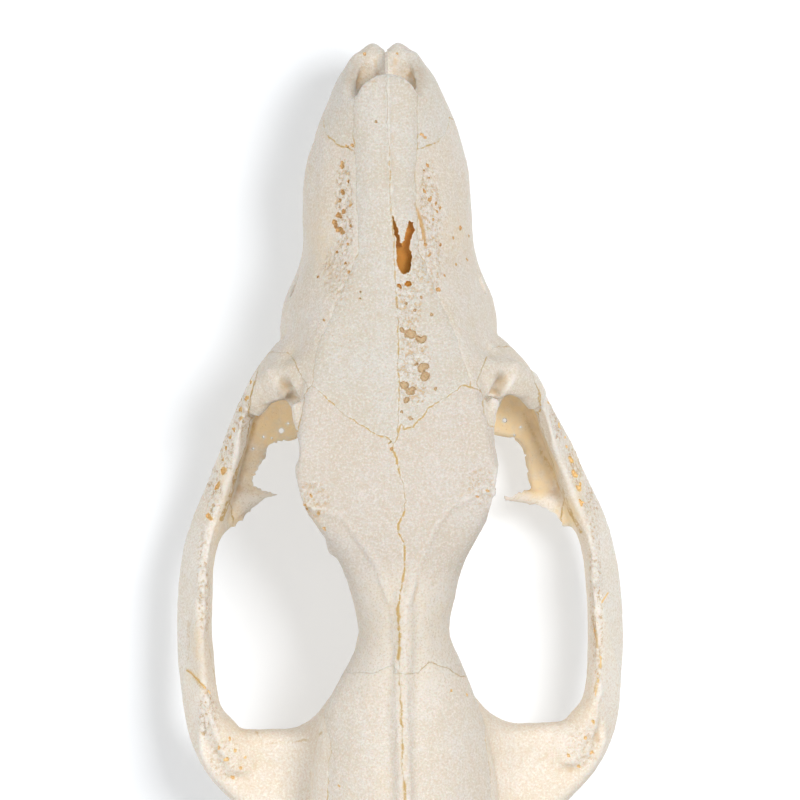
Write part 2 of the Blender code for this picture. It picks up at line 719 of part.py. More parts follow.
def lacrimal_region(side):
    """The small bone in the front rim of the orbit."""
    outline = [
        (18.4, 42.4), (14.4, 43.0), (12.5, 46.2), (11.8, 47.9), (12.4, 50.0), (13.2, 53.4),
        (15.5, 54), (18.6, 53.2), (20.3, 51.4), (20.0, 49.0), (19.0, 45.2),
    ]
    return prism("region", mirrored(outline, side), 18.6, 50)


def squamosal_region(side):
    """The root of the arch, its rear half and the joint for the lower jaw, seen from the side."""
    outline = [
        (74.5, 23), (76.6, 17.4), (82, 16.2), (90, 13.4), (97, 11.4), (98.4, 8.8), (100.6, 6.0),
        (101.2, -3), (106.8, -3), (107.4, 6), (109.6, 16), (111.4, 23), (105, 25.4), (97, 24.8),
        (93, 22.4), (87, 21.6), (80, 22.6),
    ]
    inner, outer = sorted((side * 9.8, side * 40.0))
    return prism("region", outline, inner, outer, "X")


def jugal_region(side):
    """The cheek arch from the orbit's front corner to the joint for the lower jaw."""
    plan = [
        (16.6, 40.5), (20.2, 49.4), (19.9, 51.8), (21.4, 58), (23.3, 63.4), (22.6, 68), (22.4, 101),
        (38, 101), (38, 40.5),
    ]
    profile = [
        (40, 50), (40, 24.0), (45, 19.6), (51, 15.2), (58, 11.6), (66, 7.0), (69, -3), (103, -3),
        (103, 50),
    ]
    return plan_and_profile(mirrored(plan, side), (-4, 50), profile)


def frontal_region(side):
    """Half of the brow, with the wall of the orbit below it."""
    plan = [
        (-HALF_GAP, 47.0), (11.2, 47.0), (17, 46.2), (17, 88.2), (8.4, 88.2), (6.6, 86.9),
        (3.9, 86.2), (2.4, 87.5), (-HALF_GAP, 86.4),
    ]
    profile = [(44, 50), (44, 16.5), (60, 14.6), (90, 14.6), (90, 50)]
    return plan_and_profile(mirrored(plan, side), (4, 50), profile)


def parietal_region(side):
    """Half of the roof of the braincase."""
    inner, outer = sorted((-side * HALF_GAP, side * 16.0))
    outline = [(84, 50), (84, 14.6), (100, 15.6), (111.6, 16.6), (112.8, 25), (114.6, 29.6), (114.9, 50)]
    return prism("region", outline, inner, outer, "X")


def occipital_region():
    """The rear of the skull, with the condyles and the processes that the skull stands on."""
    outline = [(105.4, -4), (106.4, 6), (109.0, 16), (110, 50), (130, 50), (130, -4)]
    return prism("region", outline, *WHOLE_WIDTH, "X")


def premaxilla_region(side):
    """The tip of the snout, which carries the incisors."""
    inner, outer = sorted((-side * HALF_GAP, side * 16.0))
    outline = [(-5, 50), (15.4, 50), (15.0, 26.6), (14.0, 23.2), (10.7, 19), (11.1, 14), (11.5, 4), (-5, 4)]
    return prism("region", outline, inner, outer, "X")


def palatine_region():
    """The rear of the palate and the wings behind it."""
    half = [(0, 52.0), (3.4, 52.4), (7.4, 56.2), (8.8, 61.8), (10.4, 64.6), (10.4, 87)]
    plan = half + [(-x, t) for x, t in reversed(half)]
    profile = [(50, -4), (50, 8.4), (58, 9.6), (64, 12.4), (70, 13.4), (75, 10.6), (87.4, 9.6), (88, -4)]
    return plan_and_profile(plan, (-5, 30), profile)


def sphenoid_region():
    """What is left of the floor and side walls of the braincase."""
    outline = [(63.5, 50), (63.5, -4), (118, -4), (118, 50)]
    return prism("region", outline, -14.6, 14.6, "X")


def maxilla_region(side):
    """What is left of one side of the face."""
    inner, outer = sorted((-side * HALF_GAP, side * 40.0))
    return prism("region", [(-5, -5), (-5, 50), (75, 50), (75, -5)], inner, outer, "X")


def part_bones(body):
    """Every bone of the cranium, in the order in which its neighbours leave it free."""
    bones = {}

    def take_pair(kind, region):
        for side in MIRROR:
            bones[kind, side] = take_bone(body, f"{kind}_{SIDE_NAME[side]}", region(side))

    def take_single(kind, region):
        bones[kind, 0] = take_bone(body, kind, region())

    take_pair("nasal", nasal_region)
    take_pair("lacrimal", lacrimal_region)
    take_pair("squamosal", squamosal_region)
    take_pair("jugal", jugal_region)
    take_pair("frontal", frontal_region)
    take_single("occipital", occipital_region)
    take_pair("parietal", parietal_region)
    take_pair("premaxilla", premaxilla_region)
    take_single("palatine", palatine_region)
    take_single("sphenoid", sphenoid_region)
    take_pair("maxilla", maxilla_region)
    bpy.data.objects.remove(body)
    return bones


# Teeth

def crown(name, side, levels, count=14):
    """A tooth as a stack of oval rings. A level is (z, x, t, half width, half length)."""
    turns = np.linspace(0, 2 * math.pi, count, endpoint=False)
    rings = []
    for z, x, t, wide, long in levels:
        centre = side * x + drift(x, t)
        rings.append([(centre + wide * math.cos(a), t + long * math.sin(a), z) for a in turns])
    return loft(name, rings)


def incisor(side, x, t, tall):
    """A small peg, flattened from front to back at its edge."""
    gum = palate_z(t) + 0.4
    return crown("incisor", side, [
        (gum + 2.6, x, t + 0.3, 0.62, 0.75),
        (gum, x, t, 0.68, 0.85),
        (gum - 0.55 * tall, x + 0.05, t - 0.15, 0.8, 0.7),
        (gum - 0.9 * tall, x + 0.05, t - 0.25, 0.72, 0.42),
        (gum - tall, x + 0.05, t - 0.25, 0.5, 0.3),
    ], 10)


def canine(side):
    """The long curved canine, whose tip the skull rests on."""
    return crown("canine", side, [
        (15.0, 8.9, 18.9, 1.3, 2.0),
        (11.8, 9.0, 17.4, 1.5, 2.35),
        (9.5, 9.1, 16.9, 1.45, 2.15),
        (6.5, 9.3, 17.0, 1.3, 1.8),
        (3.5, 9.5, 17.6, 1.05, 1.35),
        (1.2, 9.65, 18.4, 0.8, 0.95),
        (-0.6, 9.75, 19.1, 0.6, 0.62),
    ])


def premolar(side, x, t, long, wide, tall):
    """A two-rooted blade with its point a little forward of its middle."""
    gum = palate_z(t) + 0.3
    return crown("premolar", side, [
        (gum + 2.2, x, t, 0.7 * wide, 0.75 * long),
        (gum, x, t, wide, 0.95 * long),
        (gum - 0.25 * tall, x, t, wide, long),
        (gum - 0.6 * tall, x, t - 0.1 * long, 0.62 * wide, 0.55 * long),
        (gum - tall, x, t - 0.16 * long, 0.28, 0.32),
    ], 12)


def molar(side, x, t, long, wide):
    """A three-cornered crown: a long outer edge with two cusps and one cusp on the palate side."""
    gum = palate_z(t) + 0.3
    outline = [
        (0.5, -0.5), (0.44, 0.0), (0.52, 0.5), (0.1, 0.42), (-0.38, 0.16), (-0.5, -0.1),
        (-0.3, -0.38), (0.1, -0.5),
    ]
    centre = side * x + drift(x, t)

    def corner(u, v, grow):
        return (centre + side * grow * (wide * u + MOLAR_SKEW * long * v), t + grow * long * v)

    rings = []
    for drop, grow in ((-2.0, 0.82), (0.0, 0.92), (1.0, 1.0), (1.8, 0.94)):
        corners = [corner(u, v, grow) for u, v in outline]
        rings.append([(px, py, gum - drop) for px, py in smooth_ring(corners, 12)])
    parts = [loft("molar", rings)]
    for u, v, tall in ((0.16, -0.22, 2.8), (0.16, 0.24, 3.2), (-0.32, 0.02, 2.8)):
        cusp_x, cusp_t = x + wide * u + MOLAR_SKEW * long * v, t + long * v
        parts.append(crown("cusp", side, [
            (gum - 1.2, cusp_x, cusp_t, 0.19 * wide, 0.19 * long),
            (gum - tall, cusp_x, cusp_t, 0.28, 0.28),
        ], 8))
    return parts


def set_teeth(bones):
    """Sets every tooth in the bone it grows from."""
    for side in MIRROR:
        front = [incisor(side, *place) for place in INCISORS]
        back = [canine(side)] + [premolar(side, *place) for place in PREMOLARS]
        for place in MOLARS:
            back += molar(side, *place)
        combine(bones["premaxilla", side], front, "UNION")
        combine(bones["maxilla", side], back, "UNION")


# Standing the skull on the floor, and finishing

def level_feet(bones):
    """Cuts the canines and the paroccipital processes off flat where they meet the floor."""
    for place in (("maxilla", 1), ("maxilla", -1), ("occipital", 0)):
        floor = prism("floor", FLOOR_OUTLINE, -9, 0)
        combine(bones[place], [floor], "DIFFERENCE")


def bone_material(name, colour, roughness):
    material = bpy.data.materials.new(name)
    material.use_nodes = True
    shader = material.node_tree.nodes["Principled BSDF"]
    shader.inputs["Base Color"].default_value = (*colour, 1)
    shader.inputs["Roughness"].default_value = roughness
    shader.inputs["Metallic"].default_value = 0
    return material


def box_of(points):
    """Lowest and highest corner of some points."""
    corners = np.array([point.co[:] for point in points], float)
    return corners.min(axis=0), corners.max(axis=0)


def finish(bones):
    """Brings each bone to metres, places it from the skull's base centre and gives it its looks."""
    low, high = box_of([vert for bone in bones.values() for vert in bone.data.vertices])
    base = Vector(((low[0] + high[0]) / 2, (low[1] + high[1]) / 2, low[2]))
    skull = bpy.data.objects.new("skull", None)
    bpy.context.scene.collection.objects.link(skull)
    materials = {kind: bone_material(kind, *look) for kind, look in BONE_LOOK.items()}
    for (kind, _), bone in bones.items():
        keep_largest(bone)
        bone.data.transform(Matrix.Scale(MM, 4) @ Matrix.Translation(-base))
        bone_low, bone_high = box_of(bone.data.vertices)
        centre = Vector((bone_low + bone_high) / 2)
        bone.data.transform(Matrix.Translation(-centre))
        bone.parent = skull
        bone.location = centre
        bone.data.materials.clear()
        bone.data.materials.append(materials[kind])
        bone.data.shade_smooth()
        bone.data.set_sharp_from_angle(angle=SMOOTH_BELOW)


for startup in list(bpy.data.objects):
    bpy.data.objects.remove(startup)
cranium_bones = part_bones(whole_cranium())
set_teeth(cranium_bones)
level_feet(cranium_bones)
finish(cranium_bones)
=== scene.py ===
import math

import bmesh
import bpy
import numpy as np
from mathutils import Matrix, Vector, noise
from mathutils.bvhtree import BVHTree


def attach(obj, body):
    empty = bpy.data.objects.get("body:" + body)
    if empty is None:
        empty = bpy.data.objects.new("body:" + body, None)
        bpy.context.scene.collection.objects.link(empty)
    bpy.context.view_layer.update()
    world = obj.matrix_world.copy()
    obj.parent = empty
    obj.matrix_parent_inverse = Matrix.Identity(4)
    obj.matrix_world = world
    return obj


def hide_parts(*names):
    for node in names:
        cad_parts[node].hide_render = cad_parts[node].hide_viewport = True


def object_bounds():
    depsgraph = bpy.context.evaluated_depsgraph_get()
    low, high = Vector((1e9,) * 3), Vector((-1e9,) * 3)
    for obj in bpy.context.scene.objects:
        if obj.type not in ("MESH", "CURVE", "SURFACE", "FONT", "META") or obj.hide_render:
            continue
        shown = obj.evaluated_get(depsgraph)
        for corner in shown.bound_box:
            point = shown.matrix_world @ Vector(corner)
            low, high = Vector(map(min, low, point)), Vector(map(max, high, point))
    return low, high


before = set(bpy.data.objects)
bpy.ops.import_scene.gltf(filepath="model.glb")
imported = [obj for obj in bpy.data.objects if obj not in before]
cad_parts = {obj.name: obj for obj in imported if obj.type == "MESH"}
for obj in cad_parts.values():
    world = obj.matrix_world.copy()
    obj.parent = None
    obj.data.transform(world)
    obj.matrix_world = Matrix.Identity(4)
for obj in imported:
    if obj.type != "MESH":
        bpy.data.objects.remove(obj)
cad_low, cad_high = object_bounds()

# Snout, brow and braincase of the cranium, which a young opossum grows as thin plates of bone over
# its nose, eyes and brain. They are modelled as one skin over sections along the skull, in
# millimetres: x to the animal's left, t back from the tips of the snout, z up from the floor.

PALATE_FRONT_Z = 13.7
PALATE_SLOPE = 0.1426
# Where the sections begin and end along the skull
BODY_SPAN = (1.2, 115.6)


def curve_through(*keys):
    """A smooth function of one variable through (place, value) keys, flat beyond its ends."""
    at = np.array([key[0] for key in keys], float)
    value = np.array([key[1] for key in keys], float)
    step = np.diff(at)
    slope = np.diff(value) / step
    tangent = np.zeros(len(at))
    for i in range(1, len(at) - 1):
        if slope[i - 1] * slope[i] > 0:
            weight_a = 2 * step[i] + step[i - 1]
            weight_b = step[i] + 2 * step[i - 1]
            tangent[i] = (weight_a + weight_b) / (weight_a / slope[i - 1] + weight_b / slope[i])
    tangent[0], tangent[-1] = slope[0], slope[-1]

    def evaluate(place):
        place = min(max(place, at[0]), at[-1])
        i = min(int(np.searchsorted(at, place, side="right")) - 1, len(step) - 1)
        u = (place - at[i]) / step[i]
        return float(
            (1 + 2 * u) * (1 - u) ** 2 * value[i]
            + u * (1 - u) ** 2 * step[i] * tangent[i]
            + u * u * (3 - 2 * u) * value[i + 1]
            + u * u * (u - 1) * step[i] * tangent[i + 1]
        )

    return evaluate


def palate_z(t):
    """Height of the tooth line: the palate climbs forward, because the skull rests on its canines."""
    return PALATE_FRONT_Z - PALATE_SLOPE * t


roof_z = curve_through(
    (0, 19.0), (2, 22.6), (4, 25.8), (6, 26.6), (12, 27.3), (20, 28.3), (30, 29.4), (40, 31.2),
    (50, 33.5), (58, 34.7), (66, 34.7), (75, 33.6), (85, 32.7), (95, 32.6), (105, 32.3),
    (112, 31.6), (117, 30.4),
)
roof_half = curve_through(
    (0, 3.4), (4, 4.4), (8, 5.0), (16, 5.3), (28, 5.8), (36, 8.4), (42, 10.6), (47, 12.0),
    (52, 13.2), (57, 14.0), (60.5, 14.6), (62.6, 14.4), (66, 12.4), (69, 10.5), (73, 8.2),
    (77, 7.0), (82, 6.1), (86, 7.6), (91, 9.8), (97, 11.2), (105, 12.3), (112, 11.6), (117, 9.4),
)
roof_drop = curve_through(
    (0, 1.2), (6, 1.7), (20, 2.4), (34, 2.3), (46, 1.6), (55, 1.3), (61, 2.0), (66, 3.0), (73, 4.2),
    (82, 5.4), (92, 6.6), (105, 7.4), (117, 6.4),
)
wall_half = curve_through(
    (0, 3.6), (4, 5.8), (8, 7.5), (14, 9.0), (20, 9.8), (28, 10.0), (34, 11.9), (38, 13.2),
    (42, 13.6), (46, 12.6), (50, 10.6), (56, 9.4), (66, 8.6), (74, 7.3), (82, 6.1), (88, 8.2),
    (96, 11.4), (105, 12.7), (112, 12.2), (117, 10.0),
)
wall_z = curve_through(
    (0, 15.4), (8, 20.2), (34, 21.4), (56, 21), (80, 21), (96, 19.5), (118, 17.5),
)
jaw_half = curve_through(
    (0, 3.2), (2, 4.5), (4, 6.2), (6, 7.3), (8, 8.1), (10, 9.0), (12, 9.75), (14, 10.25),
    (16, 10.8), (18, 11.3), (20, 11.5), (28, 11.8), (30, 12.1), (32, 12.8), (34, 13.7), (36, 14.5),
    (40, 15.0), (44, 14.4), (48, 13.2), (56, 10.4), (63, 8.6), (70, 6.6), (78, 5.6), (86, 6.6),
    (96, 8.6), (108, 9.6), (117, 7.4),
)
jaw_rise = curve_through(
    (0, 1.2), (10, 3.0), (28, 3.6), (50, 3.2), (66, 3.0), (80, 2.6), (96, 2.2), (118, 3.0),
)
base_z = curve_through(
    (0, palate_z(0)), (30, palate_z(30)), (60, palate_z(60)), (67, palate_z(67)), (72, 6.4),
    (79, 9.0), (87, 10.2), (98, 9.0), (110, 7.6), (118, 7.0),
)
vault = curve_through(
    (0, 0.3), (12, 1.0), (30, 1.9), (58, 2.1), (68, 1.0), (80, 0.4), (98, -0.3), (118, 0.2),
)

# The axis of this skull bends a little to its left in the face and to its right behind the orbits.
axis_x = curve_through(
    (0, 0.1), (6, 0.15), (14, 0.2), (21, 0.43), (29, 0.36), (34, 0.55), (40, 0.6), (44, 0.38),
    (48, 0.3), (56, 0.1), (62, -0.35), (74, -0.6), (84, -0.55), (92, 0.0), (117, 0.0),
)


def smooth_ring(corners, count):
    """Points on a closed Catmull-Rom curve through the corners, evenly numbered between them."""
    corners = np.array(corners, float)
    points = []
    for i in range(count):
        place = i * len(corners) / count
        k = int(place)
        u = place - k
        before, start, end, after = (corners[(k + j) % len(corners)] for j in (-1, 0, 1, 2))
        points.append(
            0.5 * (
                2 * start + (end - before) * u
                + (2 * before - 5 * start + 4 * end - after) * u ** 2
                + (3 * start - before - 3 * end + after) * u ** 3
            )
        )
    return points


def places(start, end, step):
    """Evenly spaced places from start to end, about step apart."""
    return np.linspace(start, end, max(2, round(abs(end - start) / step) + 1))


def skin_object(mesh_data):
    """An object in the scene that holds what a bmesh holds, with its faces outward."""
    bmesh.ops.recalc_face_normals(mesh_data, faces=mesh_data.faces)
    mesh = bpy.data.meshes.new("form")
    mesh_data.to_mesh(mesh)
    mesh_data.free()
    form = bpy.data.objects.new("form", mesh)
    bpy.context.scene.collection.objects.link(form)
    return form


def loft(rings):
    """A closed skin over rings that have the same number of points."""
    data = bmesh.new()
    loops = [[data.verts.new(point) for point in ring] for ring in rings]
    count = len(loops[0])
    for ring, following in zip(loops, loops[1:]):
        for i in range(count):
            j = (i + 1) % count
            data.faces.new((ring[i], ring[j], following[j], following[i]))
    data.faces.new(loops[0][::-1])
    data.faces.new(loops[-1])
    data.normal_update()
    bmesh.ops.triangulate(data, faces=[f for f in data.faces if len(f.verts) > 4])
    return skin_object(data)


def body_ring(t):
    """Section of the face, orbit walls and braincase at one place along the skull."""
    top, shoulder, drop = roof_z(t), roof_half(t), roof_drop(t)
    jaw, low = jaw_half(t), base_z(t)
    half = [
        (0.55 * shoulder, top - 0.22 * drop),
        (shoulder, top - drop),
        (wall_half(t), wall_z(t)),
        (jaw, low + jaw_rise(t)),
        (0.99 * jaw, low + 0.9),
        (0.86 * jaw, low - 0.1),
        (0.5 * jaw, low + 0.75 * vault(t)),
    ]
    corners = [(0, top)] + half + [(0, low + vault(t))] + [(-x, z) for x, z in reversed(half)]
    return [(x + axis_x(t), t, z) for x, z in smooth_ring(corners, 56)]


body = loft([body_ring(t) for t in places(*BODY_SPAN, 0.6)])
masses = [body]


# The zygomatic arches: tall, thin bars of bone that bow out round the jaw muscles, each rooted behind
# in a shelf over the joint for the lower jaw. Both are lofted, the arch along the skull, the root across.

SIDES = (1, -1)
MM_PER_METRE = 1000
ARCH_BREADTH = (cad_high.x - cad_low.x) * MM_PER_METRE - 0.1
# Where the arch runs along the skull, how far its root reaches from the midline, and where the cheek ends
ARCH_SPAN = (41, 101)
ROOT_SPAN = (7.5, 28.5)
CHEEK_END = 55.0

# The arch's outermost line, its crest and its inner face, then its upper and lower edges
arch_out = curve_through(
    (41, 15.3), (42, 16.3), (44, 18.1), (46, 19.5), (48, 20.6), (54, 23.5), (60, 26.1), (66, 28.75),
    (70, 30.0), (74, 30.65), (80, 31.1), (84, ARCH_BREADTH / 2 + 0.1), (88, 30.8), (92, 30.4),
    (96, 29.7), (99, 28.6), (101, 27.5),
)
arch_crest = curve_through(
    (41, 13.0), (46, 17.2), (50, 19.8), (55, 21.5), (62, 24.0), (70, 26.9), (80, 27.7), (90, 27.4),
    (101, 23.5),
)
arch_in = curve_through(
    (41, 11.0), (46, 15.0), (50, 18.4), (56, 20.8), (62, 22.6), (67, 24.1), (70, 25.4), (74, 26.0),
    (80, 26.3), (88, 25.9), (92, 25.2), (94, 23.4), (101, 20.0),
)
arch_top = curve_through(
    (41, 23.5), (45, 25.4), (48, 24.8), (51, 22.6), (55, 19.8), (60, 17.4), (66, 16.2), (70, 16.3),
    (74, 17.4), (78, 17.2), (84, 17.6), (92, 18.8), (101, 18.0),
)
arch_low = curve_through(
    (41, 13.0), (46, 11.2), (52, 9.4), (60, 8.0), (69, 6.7), (78, 6.4), (86, 7.4), (94, 9.2),
    (101, 10.4),
)

# Root of the squamosal, as functions of x
root_front = curve_through(
    (7.5, 87.0), (10.4, 91.4), (12.8, 94.0), (16, 95.1), (22, 95.0), (25.5, 93.8), (28.5, 91.8),
)
root_rear = curve_through(
    (7.5, 113), (13, 112.5), (17, 110.6), (20, 108.5), (22.9, 106.0), (24.5, 104.4), (26.4, 102.4),
    (27.7, 100.4), (28.5, 98.4),
)
root_top = curve_through(
    (7.5, 25.5), (10.5, 23.0), (13, 19.8), (17, 17.6), (22, 17.0), (28.5, 18.0),
)
root_low = curve_through((7.5, 9.0), (14, 8.6), (22, 9.4), (28.5, 10.4))


def cheek_bend(t):
    """How far the root of the arch and the tooth row follow the bend of the axis."""
    return axis_x(t) if t < CHEEK_END else 0.0


def arch_ring(t, side):
    """Section of the zygomatic arch: a tall plate whose crest leans in and whose outer face swells."""
    crest, outer, inner = arch_crest(t), arch_out(t), arch_in(t)
    top, low = arch_top(t), arch_low(t)
    tall = top - low
    corners = [
        (crest, top),
        (0.45 * crest + 0.55 * outer, top - 0.22 * tall),
        (outer, low + 0.45 * tall),
        (0.75 * outer + 0.25 * inner, low + 0.08 * tall),
        (0.42 * outer + 0.58 * inner, low),
        (inner, low + 0.34 * tall),
        (0.8 * inner + 0.2 * crest, top - 0.24 * tall),
    ]
    return [(side * x + cheek_bend(t), t, z) for x, z in smooth_ring(corners, 28)]


def root_ring(x, side):
    """Section of the squamosal's root at one distance from the midline, seen from the side."""
    front, rear, top, low = root_front(x), root_rear(x), root_top(x), root_low(x)
    deep, tall = rear - front, top - low
    corners = [
        (front + 0.10 * deep, top - 0.06 * tall),
        (front + 0.45 * deep, top - 0.10 * tall),
        (rear - 0.12 * deep, top - 0.02 * tall),
        (rear, top - 0.35 * tall),
        (rear - 0.10 * deep, low + 0.1 * tall),
        (front + 0.50 * deep, low),
        (front + 0.10 * deep, low + 0.08 * tall),
        (front, low + 0.55 * tall),
    ]
    return [(side * x, t, z) for t, z in smooth_ring(corners, 32)]


for side in SIDES:
    masses.append(loft([arch_ring(t, side) for t in places(*ARCH_SPAN, 0.8)]))
    masses.append(loft([root_ring(x, side) for x in places(*ROOT_SPAN, 0.8)]))


# The tooth-bearing shelf of each maxilla, whose rear top is the thin floor of the orbit. Behind the last
# molar the shelf is only a strip along the arch, and the last, unerupted molar has left its socket empty.

SHELF_SPAN = (26, 68)
shelf_in = curve_through(
    (26, 6.0), (40, 8.6), (50, 11.0), (54.6, 13.2), (55.5, 16.6), (56.6, 17.7), (61.3, 18.5),
    (63, 19.2), (68, 24.6),
)
shelf_out = curve_through(
    (26, 10.2), (32, 12.2), (38, 14.2), (41, 14.9), (48, 18.6), (54, 20.6), (58, 22.4), (63, 24.4),
    (68, 26.4),
)
shelf_top = curve_through((26, 14), (44, 14.5), (50, 12.6), (56, 11.4), (62, 10.8), (68, 11.4))


def shelf_ring(t, side):
    """Section of the bone that carries the cheek teeth. Behind the last molar it is a strip on the arch."""
    inner, outer, top = shelf_in(t), shelf_out(t), shelf_top(t)
    low = max(palate_z(t), 5.6 + 0.28 * max(0.0, t - 56.0))
    corners = [
        (inner + 0.3, top - 0.3), (0.5 * (inner + outer), top), (outer, top - 0.6),
        (outer + 0.2, 0.5 * (top + low)), (outer - 0.5, low), (0.5 * (inner + outer), low - 0.1),
        (inner + 0.4, low + 0.2), (inner - 0.1, 0.5 * (top + low)),
    ]
    return [(side * x + cheek_bend(t), t, z) for x, z in smooth_ring(corners, 24)]


for side in SIDES:
    masses.append(loft([shelf_ring(t, side) for t in places(*SHELF_SPAN, 0.6)]))


# Lumps, bars and crests that the sections don't reach: premaxillary tips, roots of the canines, the rim of
# the orbit, the wings of the palate, ear capsules, condyles and the crests where the muscles were fixed.

# How far in the hook behind each tooth row reaches, and how far back it is
HOOK_TIP = {1: (16.4, 62.5), -1: (14.9, 63.8)}
SNOUT_END = 45.0
NEAR_MIDLINE = 14.0


def drift(x, t):
    """How far the axis has bent where a piece sits. Behind the snout the arches don't follow it."""
    return axis_x(t) if t < SNOUT_END or abs(x) < NEAR_MIDLINE else 0.0


def blob(centre, radii, turn=(0, 0, 0)):
    """An egg shape, turned in degrees about x, y and z."""
    bpy.ops.mesh.primitive_uv_sphere_add(segments=32, ring_count=18, radius=1)
    egg = bpy.context.object
    egg.scale = radii
    egg.rotation_euler = [math.radians(angle) for angle in turn]
    egg.location = centre
    bpy.ops.object.transform_apply(location=True, rotation=True, scale=True)
    return egg


def bar(points, radii, sides=20):
    """A round bar through the points with a radius at each. A radius may be (sideways, upright)."""
    points = [Vector(point) for point in points]
    rings = []
    for i, centre in enumerate(points):
        ahead = points[min(i + 1, len(points) - 1)] - points[max(i - 1, 0)]
        across = ahead.cross(Vector((0, 0, 1)))
        if across.length < 0.3 * ahead.length:
            across = ahead.cross(Vector((0, 1, 0)))
        across.normalize()
        upright = across.cross(ahead).normalized()
        wide, tall = radii[i] if isinstance(radii[i], tuple) else (radii[i], radii[i])
        rings.append([
            centre + across * wide * math.cos(angle) + upright * tall * math.sin(angle)
            for angle in np.linspace(0, 2 * math.pi, sides, endpoint=False)
        ])
    return loft(rings)


def lump(side, centre, radii, turn=(0, 0, 0)):
    """An egg shape given for the left side, mirrored for the right."""
    x, t, z = centre
    pitch, roll, yaw = turn
    return blob((side * x + drift(x, t), t, z), radii, (pitch, roll * side, yaw * side))


def rod(side, points, radii):
    """A bar given for the left side, mirrored for the right."""
    return bar([(side * x + drift(x, t), t, z) for x, t, z in points], radii)


def face_masses(side):
    """What the snout, the orbit's rim and the arch add to the body and its lofts."""
    reach, hook_t = HOOK_TIP[side]
    return [
        # The rounded tip of the premaxilla stands clear of its twin.
        lump(side, (2.15, 2.7, 15.5), (1.95, 2.75, 2.1), (8, 0, -16)),
        lump(side, (9.2, 19.5, 16), (2.3, 7.0, 4.6), (10, 0, -4)),
        # Front wall of the orbit, and the rim above it that carries the lacrimal
        lump(side, (14.4, 47.0, 19.5), (4.2, 4.4, 7.0), (0, -8, -24)),
        rod(
            side,
            [
                (10.8, 46.6, 28.9), (13.4, 46.8, 27.3), (16.0, 47.2, 25.0), (18.4, 48.4, 22.6),
                (20.0, 50.2, 20.6),
            ],
            [(3.0, 2.0), (3.0, 2.0), (2.9, 2.0), (2.5, 1.8), (1.6, 1.4)],
        ),
        lump(side, (12.9, 61.2, 32.0), (2.2, 3.0, 1.6), (0, 12, 0)),
        lump(side, (27.4, 74.6, 16.4), (1.0, 2.8, 1.5), (6, 0, 0)),
        # Hook behind the empty socket of the last molar
        rod(
            side,
            [
                (24.4, hook_t + 2.8, 10.6), (21.6, hook_t + 1.1, 10.8), (19.4, hook_t, 10.9),
                (reach + 1.2, hook_t - 0.4, 10.7), (reach, hook_t, 10.4),
            ],
            [(2.0, 1.2), (1.5, 1.0), (1.15, 0.95), (0.95, 0.85), (0.7, 0.7)],
        ),
    ]


def base_masses(side):
    """What the underside and the rear of the cranium add on one side."""
    return [
        # Wing of the palatine and pterygoid, down to its hooked end
        rod(
            side,
            [
                (4.7, 62, 6.6), (4.6, 69, 6.4), (4.5, 75, 6.8), (4.4, 80, 6.4), (4.3, 84.0, 4.2),
                (4.3, 85.6, 2.6),
            ],
            [(1.1, 2.4), (1.0, 2.8), (0.95, 2.7), (0.9, 2.2), (0.8, 1.3), (0.6, 0.7)],
        ),
        rod(
            side,
            [(4.6, 64, 9.4), (4.6, 73, 9.6), (4.6, 81, 9.8), (5.2, 87, 9.8)],
            [(1.0, 2.4), (1.0, 2.4), (1.0, 2.4), (1.2, 2.0)],
        ),
        rod(
            side,
            [(4.6, 79, 9.4), (6.2, 87, 9.2), (7.8, 94, 8.4)],
            [(1.1, 1.8), (1.2, 2.2), (1.6, 2.0)],
        ),
        lump(side, (8.4, 98.0, 7.6), (3.2, 4.6, 3.1), (0, 10, 14)),
        lump(side, (9.6, 104.8, 9.0), (3.4, 3.8, 2.8)),
        lump(side, (2.6, 107.0, 9.4), (3.6, 9.0, 2.2)),
        # Walls of the joint for the lower jaw: the postglenoid process behind it, the entoglenoid inside
        rod(
            side,
            [(21.5, 102.6, 8.6), (18.6, 103.0, 7.0), (15.6, 103.0, 6.2), (13.2, 102.2, 7.2)],
            [(1.1, 1.6), (1.2, 2.2), (1.2, 2.4), (1.1, 2.0)],
        ),
        # Mastoid and paroccipital processes. The skull rests on the latter.
        rod(
            side,
            [(14.6, 109.0, 18), (14.6, 108.8, 11), (14.2, 108.2, 6.0)],
            [(2.6, 3.2), (2.2, 2.6), (1.3, 1.3)],
        ),
        rod(
            side,
            [(9.8, 112.6, 16), (10.6, 112.0, 8), (11.3, 111.0, 3), (11.6, 110.4, -0.8)],
            [(2.8, 3.0), (2.7, 2.3), (2.1, 1.6), (1.5, 1.1)],
        ),
        lump(side, (5.0, 116.0, 9.2), (2.9, 3.8, 4.3), (-24, 0, -22)),
        # Half of the nuchal crest, from the crown of the head to the mastoid
        rod(
            side,
            [
                (-0.5, 117.4, 31.0), (4.6, 117.0, 30.2), (8.8, 115.7, 27.8), (11.8, 113.6, 24.2),
                (13.6, 111.4, 20.4), (14.6, 109.4, 15.6),
            ],
            [1.5, 1.5, 1.5, 1.5, 1.7, 2.0],
        ),
    ]


for side in SIDES:
    masses += face_masses(side) + base_masses(side)
    # Where the arch turns into its root
    masses.append(lump(side, (24.0, 98.3, 14.9), (4.4, 3.6, 3.1)))
